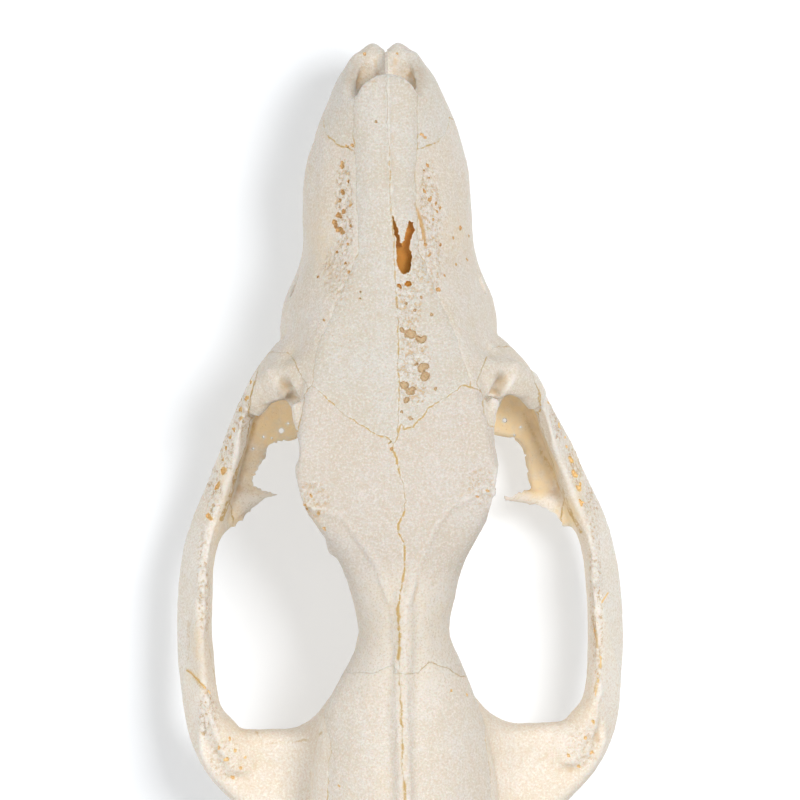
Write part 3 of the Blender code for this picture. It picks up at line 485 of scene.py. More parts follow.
# The crest along the braincase, then the rear edge of the palate and the back of the head
masses.append(bar(
    [(axis_x(t), t, roof_z(t) + 0.15) for t in places(76, 117, 4)],
    [(1.15, 0.5)] + [(1.25, 1.0)] * 8 + [(1.5, 1.3), (1.6, 1.3)],
))
masses.append(bar(
    [(-9.6, 62.2, 5.6), (-6.0, 65.2, 5.3), (0, 66.4, 5.6), (6.0, 65.2, 5.3), (9.6, 62.2, 5.6)],
    [(1.3, 1.0), (1.6, 1.1), (1.7, 1.1), (1.6, 1.1), (1.3, 1.0)],
))
masses.append(blob((0, 110.4, 18.6), (8.8, 6.9, 9.2)))
# Small bump on the left wall behind the brow
masses.append(blob((9.1, 69.7, 29.6), (0.85, 1.4, 1.3)))


# Hollows: nostrils and nasal passage, orbits, nerve openings, windows in the palate, the joints for the
# lower jaw, the ear openings and the foramen magnum. Then everything is fused into one smooth bone.

ROUGH_GRAIN = 0.42
FINE_GRAIN = 0.29
# Levels above and below the skull, a distance beyond its sides, and the level of the orbits' floors
ABOVE = 50
BELOW = -4
WIDE = 40
ORBIT_LEDGE = 13.2
# A patch leaves alone what it covers less than this.
FAINT = 0.02


def plate(outline, low, high, normal="Z"):
    """An outline extruded between two levels. Normal Z takes (x, t) points, X takes (t, z) points.
    Low may be a function of (x, t), for a floor that follows a surface."""
    data = bmesh.new()

    def corner(point, level):
        height = level(*point) if callable(level) else level
        return (height, point[0], point[1]) if normal == "X" else (point[0], point[1], height)

    bottom = [data.verts.new(corner(point, low)) for point in outline]
    top = [data.verts.new(corner(point, high)) for point in outline]
    for i in range(len(outline)):
        j = (i + 1) % len(outline)
        data.faces.new((bottom[i], bottom[j], top[j], top[i]))
    ends = [data.faces.new(bottom[::-1]), data.faces.new(top)]
    data.normal_update()
    bmesh.ops.triangulate(data, faces=ends)
    return skin_object(data)


def apply_all(form):
    """Applies the modifiers of a form, as by hand."""
    bpy.ops.object.select_all(action="DESELECT")
    form.select_set(True)
    bpy.context.view_layer.objects.active = form
    for modifier in list(form.modifiers):
        bpy.ops.object.modifier_apply(modifier=modifier.name)
    return form


def carve(form, tools, operation="DIFFERENCE"):
    """Cuts the tools from the form, or keeps what they share, in one Boolean, and removes them."""
    group = bpy.data.collections.new("tools")
    for tool in tools:
        group.objects.link(tool)
    boolean = form.modifiers.new("carve", "BOOLEAN")
    boolean.operation = operation
    boolean.solver = "MANIFOLD"
    boolean.operand_type = "COLLECTION"
    boolean.collection = group
    apply_all(form)
    for tool in tools:
        bpy.data.objects.remove(tool)
    bpy.data.collections.remove(group)
    return form


def fuse(forms, grain, softening):
    """One skin over forms that run into each other, with its creases rounded."""
    bpy.ops.object.select_all(action="DESELECT")
    for form in forms:
        form.select_set(True)
    bpy.context.view_layer.objects.active = forms[0]
    if len(forms) > 1:
        bpy.ops.object.join()
    remesh = forms[0].modifiers.new("fuse", "REMESH")
    remesh.mode = "VOXEL"
    remesh.voxel_size = grain
    if softening:
        soften = forms[0].modifiers.new("soften", "SMOOTH")
        soften.factor = 0.5
        soften.iterations = softening
    return apply_all(forms[0])


def spread(at, patches, edge=1.5):
    """How strongly patches cover each place, from 0 to 1. A larger edge makes their rims sharper."""
    cover = np.zeros(len(at))
    for x, t, half_x, half_t, strength in patches:
        reach = ((at[:, 0] - x) / half_x) ** 2 + ((at[:, 1] - t) / half_t) ** 2
        cover = np.maximum(cover, strength * np.clip(edge * (1.35 - reach), 0, 1))
    return cover


def places_and_normals(mesh):
    """Where a mesh's vertices are, and which way each faces."""
    count = len(mesh.vertices)
    at, out = np.empty(count * 3, np.float32), np.empty(count * 3, np.float32)
    mesh.vertices.foreach_get("co", at)
    mesh.vertices.foreach_get("normal", out)
    return at.reshape(-1, 3), out.reshape(-1, 3)


def smooth_patches(form, patches, floor, rounds):
    """Rubs a form smooth inside patches, above a floor."""
    at, _ = places_and_normals(form.data)
    share = spread(at, patches) * (at[:, 2] > floor)
    group = form.vertex_groups.new(name="rubbed")
    for i in np.flatnonzero(share > FAINT).tolist():
        group.add([i], share[i], "REPLACE")
    rub = form.modifiers.new("rub", "SMOOTH")
    rub.factor = 0.5
    rub.iterations = rounds
    rub.vertex_group = "rubbed"
    apply_all(form)


def keep_largest(obj):
    """Drops every closed surface of the object but the one that spans the largest box."""
    data = bmesh.new()
    data.from_mesh(obj.data)
    seen, shells = set(), []
    for start in data.verts:
        if start in seen:
            continue
        shell, front = {start}, [start]
        while front:
            for edge in front.pop().link_edges:
                for vert in edge.verts:
                    if vert not in shell:
                        shell.add(vert)
                        front.append(vert)
        seen |= shell
        shells.append(shell)

    def span(shell):
        places_of = np.array([vert.co for vert in shell])
        return np.prod(np.ptp(places_of, axis=0))

    shells.sort(key=span)
    spare = [vert for shell in shells[:-1] for vert in shell]
    bmesh.ops.delete(data, geom=spare, context="VERTS")
    data.to_mesh(obj.data)
    data.free()
    return obj


def cavity_ring(t):
    """Section of the nasal cavity, a shell's thickness inside the face."""
    floor = palate_z(t) + vault(t) + 1.9
    narrowing = max(0.0, min(1.0, (t - 38.0) / 10.0))
    ceiling = (1 - narrowing) * (roof_z(t) - 1.7) + narrowing * (floor + 5.2)
    wide = (1 - narrowing) * (0.86 * wall_half(t) - 1.3) + narrowing * 3.6
    corners = [
        (0, ceiling), (0.55 * wide, ceiling - 0.4), (0.9 * wide, 0.7 * ceiling + 0.3 * floor),
        (wide, 0.35 * ceiling + 0.65 * floor), (0.7 * wide, floor + 0.3), (0, floor),
    ]
    corners += [(-x, z) for x, z in corners[4:0:-1]]
    return [(x + axis_x(t), t, z) for x, z in smooth_ring(corners, 28)]


# The slanting front of the nostrils, and the round ends of the nasals over them
nostril = plate([(-3, 29), (-3, 17.2), (1.8, 17.3), (7.9, 24.7), (3.4, 25.2)], -9, 9, "X")
front = [(-9, -3), (-9, 8.0), (-4.4, 7.6), (-3.7, 6.1), (-2.2, 4.9), (-0.2, 4.3)]
nasal_ends = plate(front + [(-x, t) for x, t in reversed(front)], 24.6, 40)
carve(body, [nostril])
carve(body, [nasal_ends])
# The nasal passage, the throat and the spinal opening
hollows = [
    loft([cavity_ring(t) for t in places(2, 72, 1.5)]),
    bar([(0, 66, 8.4), (0, 74, 7.6), (0, 86, 5.8)], [(3.4, 2.6), (3.4, 3.6), (3.2, 3.8)]),
    bar([(0, 124, 11.2), (0, 112, 13.6), (0, 103, 15.4)], [(4.6, 4.2), (4.9, 4.2), (3.4, 3.0)]),
]
# Orbit, opening in the cheek, front and rear windows of the palate, joint for the lower jaw and ear
for side in SIDES:
    hollows += [
        lump(side, (17.0, 62.6, 24.4), (5.4, 13.2, 11.6), (-6, 0, 10)),
        lump(side, (12.9, 33.4, 15.0), (1.3, 4.0, 1.6), (0, 0, 22)),
        lump(side, (1.9, 12.2, 12.6), (0.95, 3.6, 3.4)),
        lump(side, (4.4, 48.5, 7.4), (1.7, 6.4, 2.6), (0, 0, 4)),
        lump(side, (6.6, 60.6, 5.6), (1.3, 2.2, 2.4), (0, 0, 20)),
        lump(side, (19.4, 98.9, 6.4), (6.6, 2.7, 4.2), (0, 0, -6)),
        lump(side, (14.6, 105.6, 11.0), (4.4, 1.5, 1.7), (0, 0, -10)),
    ]
skull = fuse(masses, ROUGH_GRAIN, softening=0)


def height_finder(form):
    """A function that gives the height of a form's upper surface at (x, t)."""
    data = bmesh.new()
    data.from_mesh(form.data)
    tree = BVHTree.FromBMesh(data)
    data.free()

    def height(x, t, default=0.0):
        hit = tree.ray_cast(Vector((x, t, 90)), Vector((0, 0, -1)))[0]
        return hit.z if hit else default

    return height


top_at = height_finder(skull)
# Arched front edge of each orbit, and the fold in which the tear duct opens
ORBIT_EDGE = {
    1: [
        (19.9, 52.4), (19.0, 51.0), (17.4, 49.8), (15.8, 49.2), (14.9, 49.3), (14.3, 50.6), (13.8, 52.6),
        (13.35, 54.6), (13.15, 56.0), (13.4, 57.6), (14.6, 59.6), (18.0, 60.0), (20.2, 56.0),
    ],
    -1: [
        (19.9, 52.4), (19.0, 51.0), (17.4, 49.8), (16.2, 49.3), (15.3, 49.3), (14.8, 50.2), (14.3, 51.8),
        (14.0, 54.0), (13.8, 56.4), (13.9, 58.6), (15.0, 60.4), (18.0, 60.6), (20.2, 56.0),
    ],
}
FOLD = [
    (17.0, 45.4, 0.3), (16.4, 46.0, 0.5), (15.8, 46.7, 0.75), (15.2, 47.4, 0.95), (14.6, 48.1, 1.1),
    (14.1, 48.9, 1.1), (13.8, 49.8, 1.0),
]


def bent(outline, side):
    """An outline for one side, given for the left, that follows the bend of the axis."""
    return [(side * x + drift(x, t), t) for x, t in outline]


for side in SIDES:
    hollows.append(plate(bent(ORBIT_EDGE[side], side), ORBIT_LEDGE, ABOVE))
carve(skull, hollows)
for side in SIDES:
    floor_of_fold = [(x, t, top_at(side * x, t) - 0.25 * r) for x, t, r in FOLD]
    carve(skull, [rod(side, floor_of_fold, [r for _, _, r in FOLD])])
# Eaves of the brow over the front of each orbit
EAVES = {
    1: [
        (13.3, 49.9, 31.2), (13.1, 51.6, 31.6), (12.5, 54.0, 32.4), (12.2, 56.2, 33.0), (12.5, 58.6, 33.0),
    ],
    -1: [
        (14.0, 49.9, 30.8), (13.5, 51.6, 31.3), (12.9, 54.0, 32.3), (12.9, 56.6, 32.8), (13.3, 59.5, 32.6),
    ],
}
# The turbinate under the right nasal and what closes the gap between the nostrils, then on each side that
# eave, the blunt tip of the premaxilla, the nostril's floor and the bulb of the lacrimal
fillings = [skull, blob((-1.9, 28.6, 25.2), (2.3, 6.5, 1.9)), blob((0.15, 3.5, 16.8), (1.3, 2.3, 1.6))]
for side in SIDES:
    fillings += [
        rod(side, EAVES[side], [0.8, 0.95, 1.0, 1.0, 0.9]),
        lump(side, (1.75, 1.75, 15.5), (1.45, 1.85, 1.7)),
        lump(side, (3.0, 5.6, 16.7), (3.1, 4.6, 2.0), (10, 0, 0)),
        rod(
            side,
            [(17.4, 45.8, 24.4), (18.0, 47.4, 23.9), (18.6, 49.4, 22.2), (19.3, 51.0, 20.4)],
            [0.9, 1.5, 1.4, 0.9],
        ),
    ]
skull = fuse(fillings, FINE_GRAIN, softening=9)
# The cheek runs smoothly from the snout into the root of the arch.
CHEEKS = ((14.4, 43.0, 3.0, 3.6, 1.0), (-13.8, 43.0, 3.0, 3.6, 1.0))
smooth_patches(skull, CHEEKS, floor=18, rounds=260)
# The rounded tips of the snout and the rear corners of the openings beside the braincase
ROUNDED = (
    (4.8, 2.2, 1.3, 1.6, 1.0), (-4.4, 2.2, 1.3, 1.6, 1.0), (22.6, 94.6, 2.6, 2.6, 1.0),
    (-22.4, 94.6, 2.6, 2.6, 1.0),
)
smooth_patches(skull, ROUNDED, floor=0, rounds=60)


# Fine relief of the upper surface: beaded lines where the jaw muscles were fixed, the notch between the
# premaxillary tips, and the thin, ragged rear edge and hook of each orbit's floor.

DETAIL_GRAIN = 0.26
# The beads' spacing, how far each strays sideways and how much their sizes vary
BEAD_STEP = 0.34
BEAD_STRAY = 0.16
BEAD_SWELL = (0.55, 1.35)
top_at = height_finder(skull)


def beaded(path, radius, seed):
    """A line of small, uneven beads of bone along a path of (x, t) on the upper surface."""
    chance = np.random.default_rng(seed)
    points, radii = [], []
    for (x0, t0), (x1, t1) in zip(path, path[1:]):
        count = max(1, round(math.hypot(x1 - x0, t1 - t0) / BEAD_STEP))
        for i in range(count):
            x = x0 + (x1 - x0) * i / count + chance.uniform(-BEAD_STRAY, BEAD_STRAY)
            t = t0 + (t1 - t0) * i / count
            swell = radius * chance.uniform(*BEAD_SWELL)
            points.append((x, t, top_at(x, t) - 0.3 * swell))
            radii.append(swell)
    return bar(points, radii, 10)


# Muscle lines as a path and the beads' size: two on the brow, two along the midline, then on the arches
LEFT_BROW = [(12.8, 63.3), (10.7, 64.4), (7.1, 65.9), (5.5, 68.1), (3.5, 71.0), (2.3, 73.4), (1.0, 77.6)]
RIGHT_BROW = [
    (-13.6, 62.4), (-10.9, 63.0), (-7.4, 64.5), (-5.1, 67.2), (-3.9, 70.0), (-2.1, 73.5), (-0.9, 78.0),
]
MUSCLE_LINES = (
    (LEFT_BROW, 0.3),
    (RIGHT_BROW, 0.32),
    ([(1.0, 77.6), (0.7, 84), (0.5, 96), (0.4, 108), (0.4, 116)], 0.17),
    ([(-0.9, 78.0), (-0.6, 84), (-0.6, 96), (-0.9, 108), (-0.9, 116)], 0.19),
    ([(25.4, 66.4), (26.4, 69), (27.0, 73), (27.3, 79), (27.4, 84)], 0.3),
    ([(27.3, 89.4), (27.0, 92.0), (25.8, 95.6), (24.6, 99.4)], 0.42),
    ([(-26.6, 69), (-27.2, 73), (-27.3, 78), (-27.5, 84), (-27.6, 91), (-26.6, 96), (-25.4, 100)], 0.36),
)
details = [beaded(path, radius, 11 + i) for i, (path, radius) in enumerate(MUSCLE_LINES)]
# Low rounded ridges under the beaded lines of the brow
for path in (LEFT_BROW, RIGHT_BROW):
    details.append(bar([(x, t, top_at(x, t) - 0.28) for x, t in path], [(0.8, 0.42)] * len(path)))
# Raised edge of the right nasal along the seam between the two
ridge = [(-0.16 + 0.02 * i, 5.0 + 1.5 * i) for i in range(9)] + [(-0.35, 20.6), (-0.62, 24.0)]
details.append(bar([(x, t, top_at(x, t) + 0.02) for x, t in ridge], [0.26] * 10 + [0.1], 10))
# Spikes round the hook of the orbit's floor, as two ends and a radius
SPIKES = (
    (21.9, 64.2, 21.6, 66.0, 0.5), (22.6, 65.0, 22.9, 66.8, 0.6), (20.6, 63.6, 20.3, 64.8, 0.45),
    (-19.0, 64.6, -18.4, 65.4, 0.4), (-22.0, 65.2, -21.2, 66.4, 0.5),
)
for x0, t0, x1, t1, radius in SPIKES:
    details.append(bar([(x0, t0, 10.6), (x1, t1, 10.2)], [radius, 0.6 * radius], 10))
skull = fuse([skull] + details, DETAIL_GRAIN, softening=1)


# A suture's waves as share, layer of the noise and closeness, and how far they swing for its reach
WAVES = ((1.0, 7.3, 0.75), (0.6, 1.9, 1.9))
SWING = 1.6


def wavy(outline, reach=0.16, every=0.45):
    """An outline whose straight stretches wander to both sides as a suture does."""
    points = []
    for start, end in zip(outline, outline[1:] + outline[:1]):
        run = Vector(end) - Vector(start)
        count = max(1, round(run.length / every))
        aside = Vector((-run.y, run.x)).normalized()
        for i in range(count):
            at = Vector(start) + run * i / count
            swing = 0.0
            for share, layer, close in WAVES:
                swing += share * noise.noise(Vector((at.x, at.y, layer)) * close)
            points.append(tuple(at + aside * swing * reach * (SWING if i else 0.0)))
    return points


# Rear edge of each orbit's floor, where it has broken away, and the edge behind its hook
SHELF_GAP = {
    1: [
        (13.6, 56.3), (14.4, 55.1), (15.6, 54.9), (16.6, 55.3), (17.7, 55.6), (18.6, 57.6), (19.6, 59.7),
        (20.0, 60.8), (19.0, 61.6), (17.6, 62.1), (16.8, 62.45), (14.0, 62.45),
    ],
    -1: [
        (-13.6, 56.3), (-14.2, 55.4), (-15.2, 55.2), (-16.6, 55.3), (-17.4, 56.7), (-18.2, 57.8),
        (-18.4, 61.3), (-18.2, 62.4), (-17.0, 62.9), (-15.0, 63.4), (-13.4, 62.0),
    ],
}
HOOK_REAR = {
    1: [(16.6, 62.5), (18.7, 63.2), (20.4, 64.5), (21.4, 66.6), (22.6, 67.6), (19.0, 69.0), (15.0, 65.0)],
    -1: [(-15.0, 64.1), (-17.8, 64.7), (-19.9, 64.9), (-22.3, 66.4), (-23.4, 68.4), (-20, 69), (-15.0, 66)],
}
SHELF_ROOF = 14
TIP_NOTCH = [(-0.8, -3), (-0.3, 0.0), (-0.12, 1.1), (0.12, 1.4), (0.34, 1.0), (0.5, 0.0), (0.9, -3)]
trims = [plate(TIP_NOTCH, 8, 24)]
for side in SIDES:
    trims.append(plate(wavy(SHELF_GAP[side], 0.3, 0.3), BELOW, SHELF_ROOF))
    trims.append(plate(wavy(HOOK_REAR[side], 0.25, 0.3), BELOW, SHELF_ROOF))
# Round perforations of the orbit's floor, as (x, t, radius)
PERFORATIONS = (
    (15.9, 53.6, 0.34), (-15.3, 52.9, 0.3), (-17.5, 53.9, 0.14), (18.4, 54.4, 0.16), (19.9, 56.0, 0.14),
    (14.9, 52.6, 0.12), (-16.6, 55.0, 0.12), (17.2, 54.6, 0.13),
)
turns = np.linspace(0, 2 * math.pi, 14, endpoint=False)
for x, t, radius in PERFORATIONS:
    ring = [(x + radius * math.cos(a), t + radius * math.sin(a)) for a in turns]
    trims.append(plate(ring, BELOW, SHELF_ROOF + 1))
for trim in trims:
    carve(skull, [trim])
# The skull stands on the tips of its canines and paroccipital processes, worn flat by the shelf.
carve(skull, [plate([(-WIDE, -5), (WIDE, -5), (WIDE, 130), (-WIDE, 130)], -9, 0)])
skull = keep_largest(skull)


# Grain of the surface: slow swellings, a fine unevenness, and a spongy, pitted face where muscles and
# skin were fixed or where the bone has weathered. All of it is pushed in or out square to the surface.

# Spongy patches as (x, t, half width, half length, strength)
SPONGY = (
    (6.4, 23.5, 1.3, 7.5, 1.0), (7.4, 32.0, 2.2, 4.5, 0.7), (-5.6, 23.5, 1.5, 7.0, 0.9),
    (-5.0, 31.0, 2.2, 4.5, 0.8), (-8.6, 28.0, 2.6, 4.0, 0.35), (-2.2, 36.5, 1.9, 4.5, 1.0),
    (-2.8, 45.5, 2.3, 5.5, 1.0), (8.5, 40.5, 3.2, 4.5, 0.35), (11.6, 63.2, 2.4, 2.8, 0.7),
    (-11.8, 62.0, 2.2, 2.8, 0.6), (21.4, 51.0, 1.1, 3.2, 1.0), (23.6, 56.0, 1.1, 3.6, 1.0),
    (25.4, 62.0, 1.2, 3.6, 1.0), (-22.6, 52.0, 1.1, 4.0, 1.0), (-25.0, 58.5, 1.1, 4.0, 1.0),
    (-27.0, 65.0, 1.1, 4.0, 0.9), (24.8, 99.0, 2.6, 3.2, 0.55), (-25.2, 98.6, 2.6, 3.0, 0.5),
    (0.0, 97.0, 1.2, 22.0, 0.3), (27.2, 75.0, 0.9, 8.0, 0.9), (-27.4, 78.0, 0.9, 12.0, 0.9),
    (27.0, 93.0, 1.4, 3.4, 0.9), (3.0, 4.6, 1.8, 2.2, 0.5), (-3.0, 4.8, 1.8, 2.2, 0.5),
)
# Heights of the swellings and how closely they follow each other, from the slowest to the finest
SWELLINGS = ((0.10, 0.22), (0.05, 0.9), (0.03, 2.3))
# Under this height the tips that the skull stands on stay as they are.
RESTING = 0.4
# Holes of spongy bone: how closely they lie, their size for that and their depth, and what swells between
HOLES_CLOSE = 1.5
HOLE_SIZE = 0.46
HOLE_DEPTH = 0.34
SPONGE_SWELLING = (0.10, 1.9)


def weather(form):
    """Works the natural unevenness into a form's surface."""
    at, out = places_and_normals(form.data)
    spongy = spread(at, SPONGY)
    push = np.empty(len(at), np.float32)
    for i, (x, t, z) in enumerate(at.tolist()):
        place = Vector((x, t, z))
        rise = 0.0
        for tall, close in SWELLINGS:
            rise += tall * noise.noise(place * close)
        if spongy[i] > FAINT:
            nearest = noise.voronoi(place * HOLES_CLOSE)[0][0]
            hole = HOLE_DEPTH * max(0.0, 1 - nearest / HOLE_SIZE)
            tall, close = SPONGE_SWELLING
            rise -= spongy[i] * (hole - tall * noise.noise(place * close))
        push[i] = rise if z > RESTING else 0.0
    form.data.vertices.foreach_set("co", (at + out * push[:, None]).ravel())
    form.data.update()


weather(skull)


# Sutures. The bones of a young skull still meet along fine, wavy seams, so each is cut off along its own
# outline, a hair's breadth from its neighbours, in the order in which those leave it free.

SEAM = 0.02
SIDE_NAME = {1: "left", -1: "right"}


def draw_in(region, distance):
    """Moves every face of a solid inwards by the distance."""
    data = bmesh.new()
    data.from_mesh(region.data)
    data.normal_update()
    moves = [(vert, vert.normal * vert.calc_shell_factor() * distance) for vert in data.verts]
    for vert, move in moves:
        vert.co -= move
    data.to_mesh(region.data)
    data.free()
    return region


def copy_of(form, name):
    """A copy of the form with a mesh of its own."""
    twin = bpy.data.objects.new(name, form.data.copy())
    bpy.context.scene.collection.objects.link(twin)
    return twin


PLACES_PER_MM = 2000
KEY_SHIFT = 500000
KEY_STEP = 2000003


def keys_of(at):
    """One whole number for each place, by which equal places are found again."""
    grid = np.round(at.astype(np.float64) * PLACES_PER_MM).astype(np.int64) + KEY_SHIFT
    return (grid[:, 0] * KEY_STEP + grid[:, 1]) * KEY_STEP + grid[:, 2]


whole_surface = keys_of(places_and_normals(skull.data)[0])
top_at = height_finder(skull)


def take_bone(kind, side, region):
    """The bone that a region marks off, cut from what is left of the cranium."""
    bone = copy_of(skull, f"{kind}_bone" if side == 0 else f"{kind}_bone_{SIDE_NAME[side]}")
    carve(bone, [draw_in(copy_of(region, "inner"), SEAM)], "INTERSECT")
    carve(skull, [region])
    return keep_largest(bone)


def plan_and_profile(plan, heights, profile):
    """The solid that fills a plan outline, seen from above, and a profile, seen from the side."""
    from_above = plate(wavy(plan), *heights)
    return carve(from_above, [plate(wavy(profile), -WIDE, WIDE, "X")], "INTERSECT")


OVERLAP = 0.7


def up_to_seam(seam, side):
    """A midline seam as a region's edge. The left bone is cut first, so the right's edge lies past it."""
    return seam if side == 1 else [(x + OVERLAP, t) for x, t in seam]


# Looks of the bone: cream with a sandy grain, tan where fat has stained it, brown in its pits and along
# its seams, whiter on its flaking edges. Each bone gets its own tone of the same recipe.

MIDDLE_T = 59.935
PIT_GRAIN = 0.13
to_metres = Matrix.Scale(0.001, 4) @ Matrix.Translation((0, -MIDDLE_T, 0))
# Tan film as (x, t, half width, half length, strength)
STAINS = (
    (-23.6, 66.6, 2.0, 3.0, 0.8), (22.6, 66.6, 1.4, 4.0, 0.7),
    (9.6, 27.0, 2.4, 6.0, 0.35), (-9.0, 27.0, 2.6, 4.0, 0.30), (24.6, 74.0, 1.6, 12.0, 0.5),
    (-24.8, 78.0, 1.6, 14.0, 0.35), (12.0, 66.0, 2.0, 3.0, 0.4), (3.0, 104.0, 2.2, 7.0, 0.22),
    (22.0, 95.2, 5.0, 2.6, 0.3), (-24.0, 93.0, 3.0, 2.2, 0.3), (7.6, 104.0, 2.0, 6.0, 0.18),
    (28.6, 87.6, 1.6, 1.2, 0.4), (0.0, 100.0, 0.6, 20.0, 0.35), (2.8, 4.9, 1.9, 1.9, 0.2),
    (-3.0, 5.0, 1.9, 1.9, 0.2), (0.0, 80.0, 12.0, 10.0, 0.25), (24.0, 60.0, 1.2, 8.0, 0.4),
    (-25.2, 60.0, 1.2, 8.0, 0.4), (28.2, 83.0, 1.1, 3.6, 0.42),
)
# Tan film on the floor of the orbits
FLOOR_STAINS = (
    (16.6, 52.4, 4.4, 4.4, 0.85), (18.6, 58.0, 3.2, 5.0, 0.5), (-16.6, 52.4, 4.4, 4.6, 0.9),
    (-19.4, 59.0, 3.4, 5.0, 0.75),
)
FLOOR_TOP = 17.0
# Steepness of the soft rims of films, painted shade and patches of painted light
SOFT = 0.75
# Painted shade in the depths: the tear ducts, the nostrils' floors, then the orbits' floors. The same
# colour darkens a facet of the left arch and the parietals where they meet the darker frontals
SHADES = {
    "lacrimal": (
        (15.2, 47.8, 1.1, 1.9, 0.6), (14.8, 48.6, 0.7, 1.2, 0.5), (-14.7, 47.6, 1.0, 1.6, 0.6),
        (-14.3, 48.4, 0.7, 1.2, 0.5),
    ),
    "premaxilla": (
        (3.4, 5.0, 2.6, 2.2, 0.34), (-3.2, 5.0, 2.6, 2.2, 0.34), (4.5, 6.0, 0.9, 1.5, 0.3),
        (-4.3, 6.2, 0.9, 1.5, 0.3),
    ),
    "squamosal": ((28.0, 84.0, 1.9, 5.4, 0.2),),
    "jugal": ((28.0, 84.0, 1.9, 5.4, 0.2),),
    "parietal": ((0.0, 82.0, 14.0, 10.0, 0.15),),
}
FLOOR_SHADES = ((-18.0, 56.0, 5.4, 9.0, 0.34), (21.4, 60.0, 1.6, 6.0, 0.15))
# Painted light on the shaded hooks of the orbits' floors and on the arches, and a paler tone at the waist
LIT_AND_PALE = (
    (18.4, 62.2, 4.6, 3.6, 0.9), (21.6, 57.0, 2.2, 6.0, 0.5), (-19.6, 64.4, 4.6, 1.8, 0.4),
    (28.6, 84.0, 3.0, 16.0, 0.35), (24.0, 58.0, 2.0, 10.0, 0.35), (-28.6, 82.0, 3.0, 18.0, 0.3),
    (0.0, 83.0, 11.0, 10.0, 0.34), (0.0, 87.0, 10.0, 4.0, 0.4),
)


def along(path, half, strength):
    """Round patches in a row along a path of (x, t)."""
    patches = []
    for (x0, t0), (x1, t1) in zip(path, path[1:]):
        count = max(1, round(math.hypot(x1 - x0, t1 - t0) / half))
        for i in range(count):
            x, t = x0 + (x1 - x0) * i / count, t0 + (t1 - t0) * i / count
            patches.append((x, t, half, half, strength))
    return patches


# Stained lines: the edges of that facet, the crest of the right arch and a crack in the left arch's root
STAIN_LINES = along([(29.7, 86.5), (28.4, 87.9), (26.9, 89.9)], 0.4, 0.6)
STAIN_LINES += along([(29.7, 86.5), (29.5, 82.0), (29.2, 79.0)], 0.3, 0.35)
STAIN_LINES += along([(-27.0, 80.6), (-27.3, 84.0), (-27.7, 87.6), (-26.8, 91.4)], 0.3, 0.6)
STAIN_LINES += along([(20.4, 95.3), (19.4, 97.2), (13.2, 96.7), (10.3, 95.2)], 0.22, 0.5)
# Stained creases between the floor of each orbit and the arch
LEFT_CREASE = [(19.2, 51.1), (20.4, 55.2), (22.1, 58.5), (23.1, 62.4), (24.6, 66.0)]
RIGHT_CREASE = [(-18.1, 52.2), (-20.3, 57.6), (-21.8, 60.2), (-23.1, 63.2), (-24.2, 66.1), (-25.6, 68.9)]
CREASES = along(LEFT_CREASE, 0.3, 0.7) + along(RIGHT_CREASE, 0.3, 0.7)
# The stained turbinate under the hole in the right nasal
AMBER = ((-1.9, 28.6, 2.8, 6.5, 1.0),)


class Wire:
    """An output in a material's node tree that takes part in sums."""

    def __init__(self, paint, socket):
        self.paint = paint
        self.socket = socket

    def math(self, operation, first, second=0.0):
        return self.paint.node("ShaderNodeMath", {"operation": operation}, {0: first, 1: second})

    def __add__(self, other):
        return self.math("ADD", self, other)

    def __radd__(self, other):
        return self.math("ADD", other, self)

    def __sub__(self, other):
        return self.math("SUBTRACT", self, other)

    def __rsub__(self, other):
        return self.math("SUBTRACT", other, self)

    def __mul__(self, other):
        return self.math("MULTIPLY", self, other)

    def __rmul__(self, other):
        return self.math("MULTIPLY", other, self)

    def between(self, low, high):
        """Rises from 0 to 1 as the value goes from low to high, or falls where low is the larger."""
        limits = {0: self, 1: low, 2: high, 3: 0.0, 4: 1.0}
        return self.paint.node("ShaderNodeMapRange", {"interpolation_type": "SMOOTHSTEP"}, limits)


class Paint:
    """A new material and the nodes that colour it."""

    def __init__(self, name):
        self.material = bpy.data.materials.new(name)
        self.material.use_nodes = True
        self.tree = self.material.node_tree
        self.shader = self.tree.nodes["Principled BSDF"]

    def feed(self, socket, value):
        if isinstance(value, Wire):
            self.tree.links.new(value.socket, socket)
        else:
            socket.default_value = value

    def node(self, kind, settings, sockets, output=0):
        made = self.tree.nodes.new(kind)
        for setting, value in settings.items():
            setattr(made, setting, value)
        for socket, value in sockets.items():
            self.feed(made.inputs[socket], value)
        return Wire(self, made.outputs[output])

    def blend(self, share, first, second):
        return self.node("ShaderNodeMix", {"data_type": "RGBA"}, {0: share, 6: first, 7: second}, 2)

    def noise(self, place, scale, detail=2.0, roughness=0.5):
        sockets = {"Vector": place, "Scale": scale, "Detail": detail, "Roughness": roughness}
        return self.node("ShaderNodeTexNoise", {}, sockets)

    def attribute(self, name):
        return self.node("ShaderNodeAttribute", {"attribute_name": name}, {}, "Fac")

    def millimetres(self):
        """The place in the object, in millimetres."""
        local = self.node("ShaderNodeTexCoord", {}, {}, "Object")
        return self.node("ShaderNodeVectorMath", {"operation": "SCALE"}, {0: local, "Scale": 1000.0})


# The colours of clean bone, of its film, cracks, pores and seams, then of painted light and painted shade
CREAM = (0.68, 0.636, 0.572)
TAN = (0.88, 0.70, 0.43, 1)
CREVICE = (0.66, 0.49, 0.31, 1)
LACE = (0.64, 0.45, 0.25, 1)
SPECK = (0.52, 0.35, 0.19, 1)
SEAM_STAIN = (0.60, 0.41, 0.17, 1)
FLAKE = (0.80, 0.77, 0.72, 1)
SHADE_AND_DARK_TONE = (0.40, 0.28, 0.15, 1)
WHITE = (0.92, 0.885, 0.81, 1)
AMBER_TONE = (0.53, 0.23, 0.035, 1)


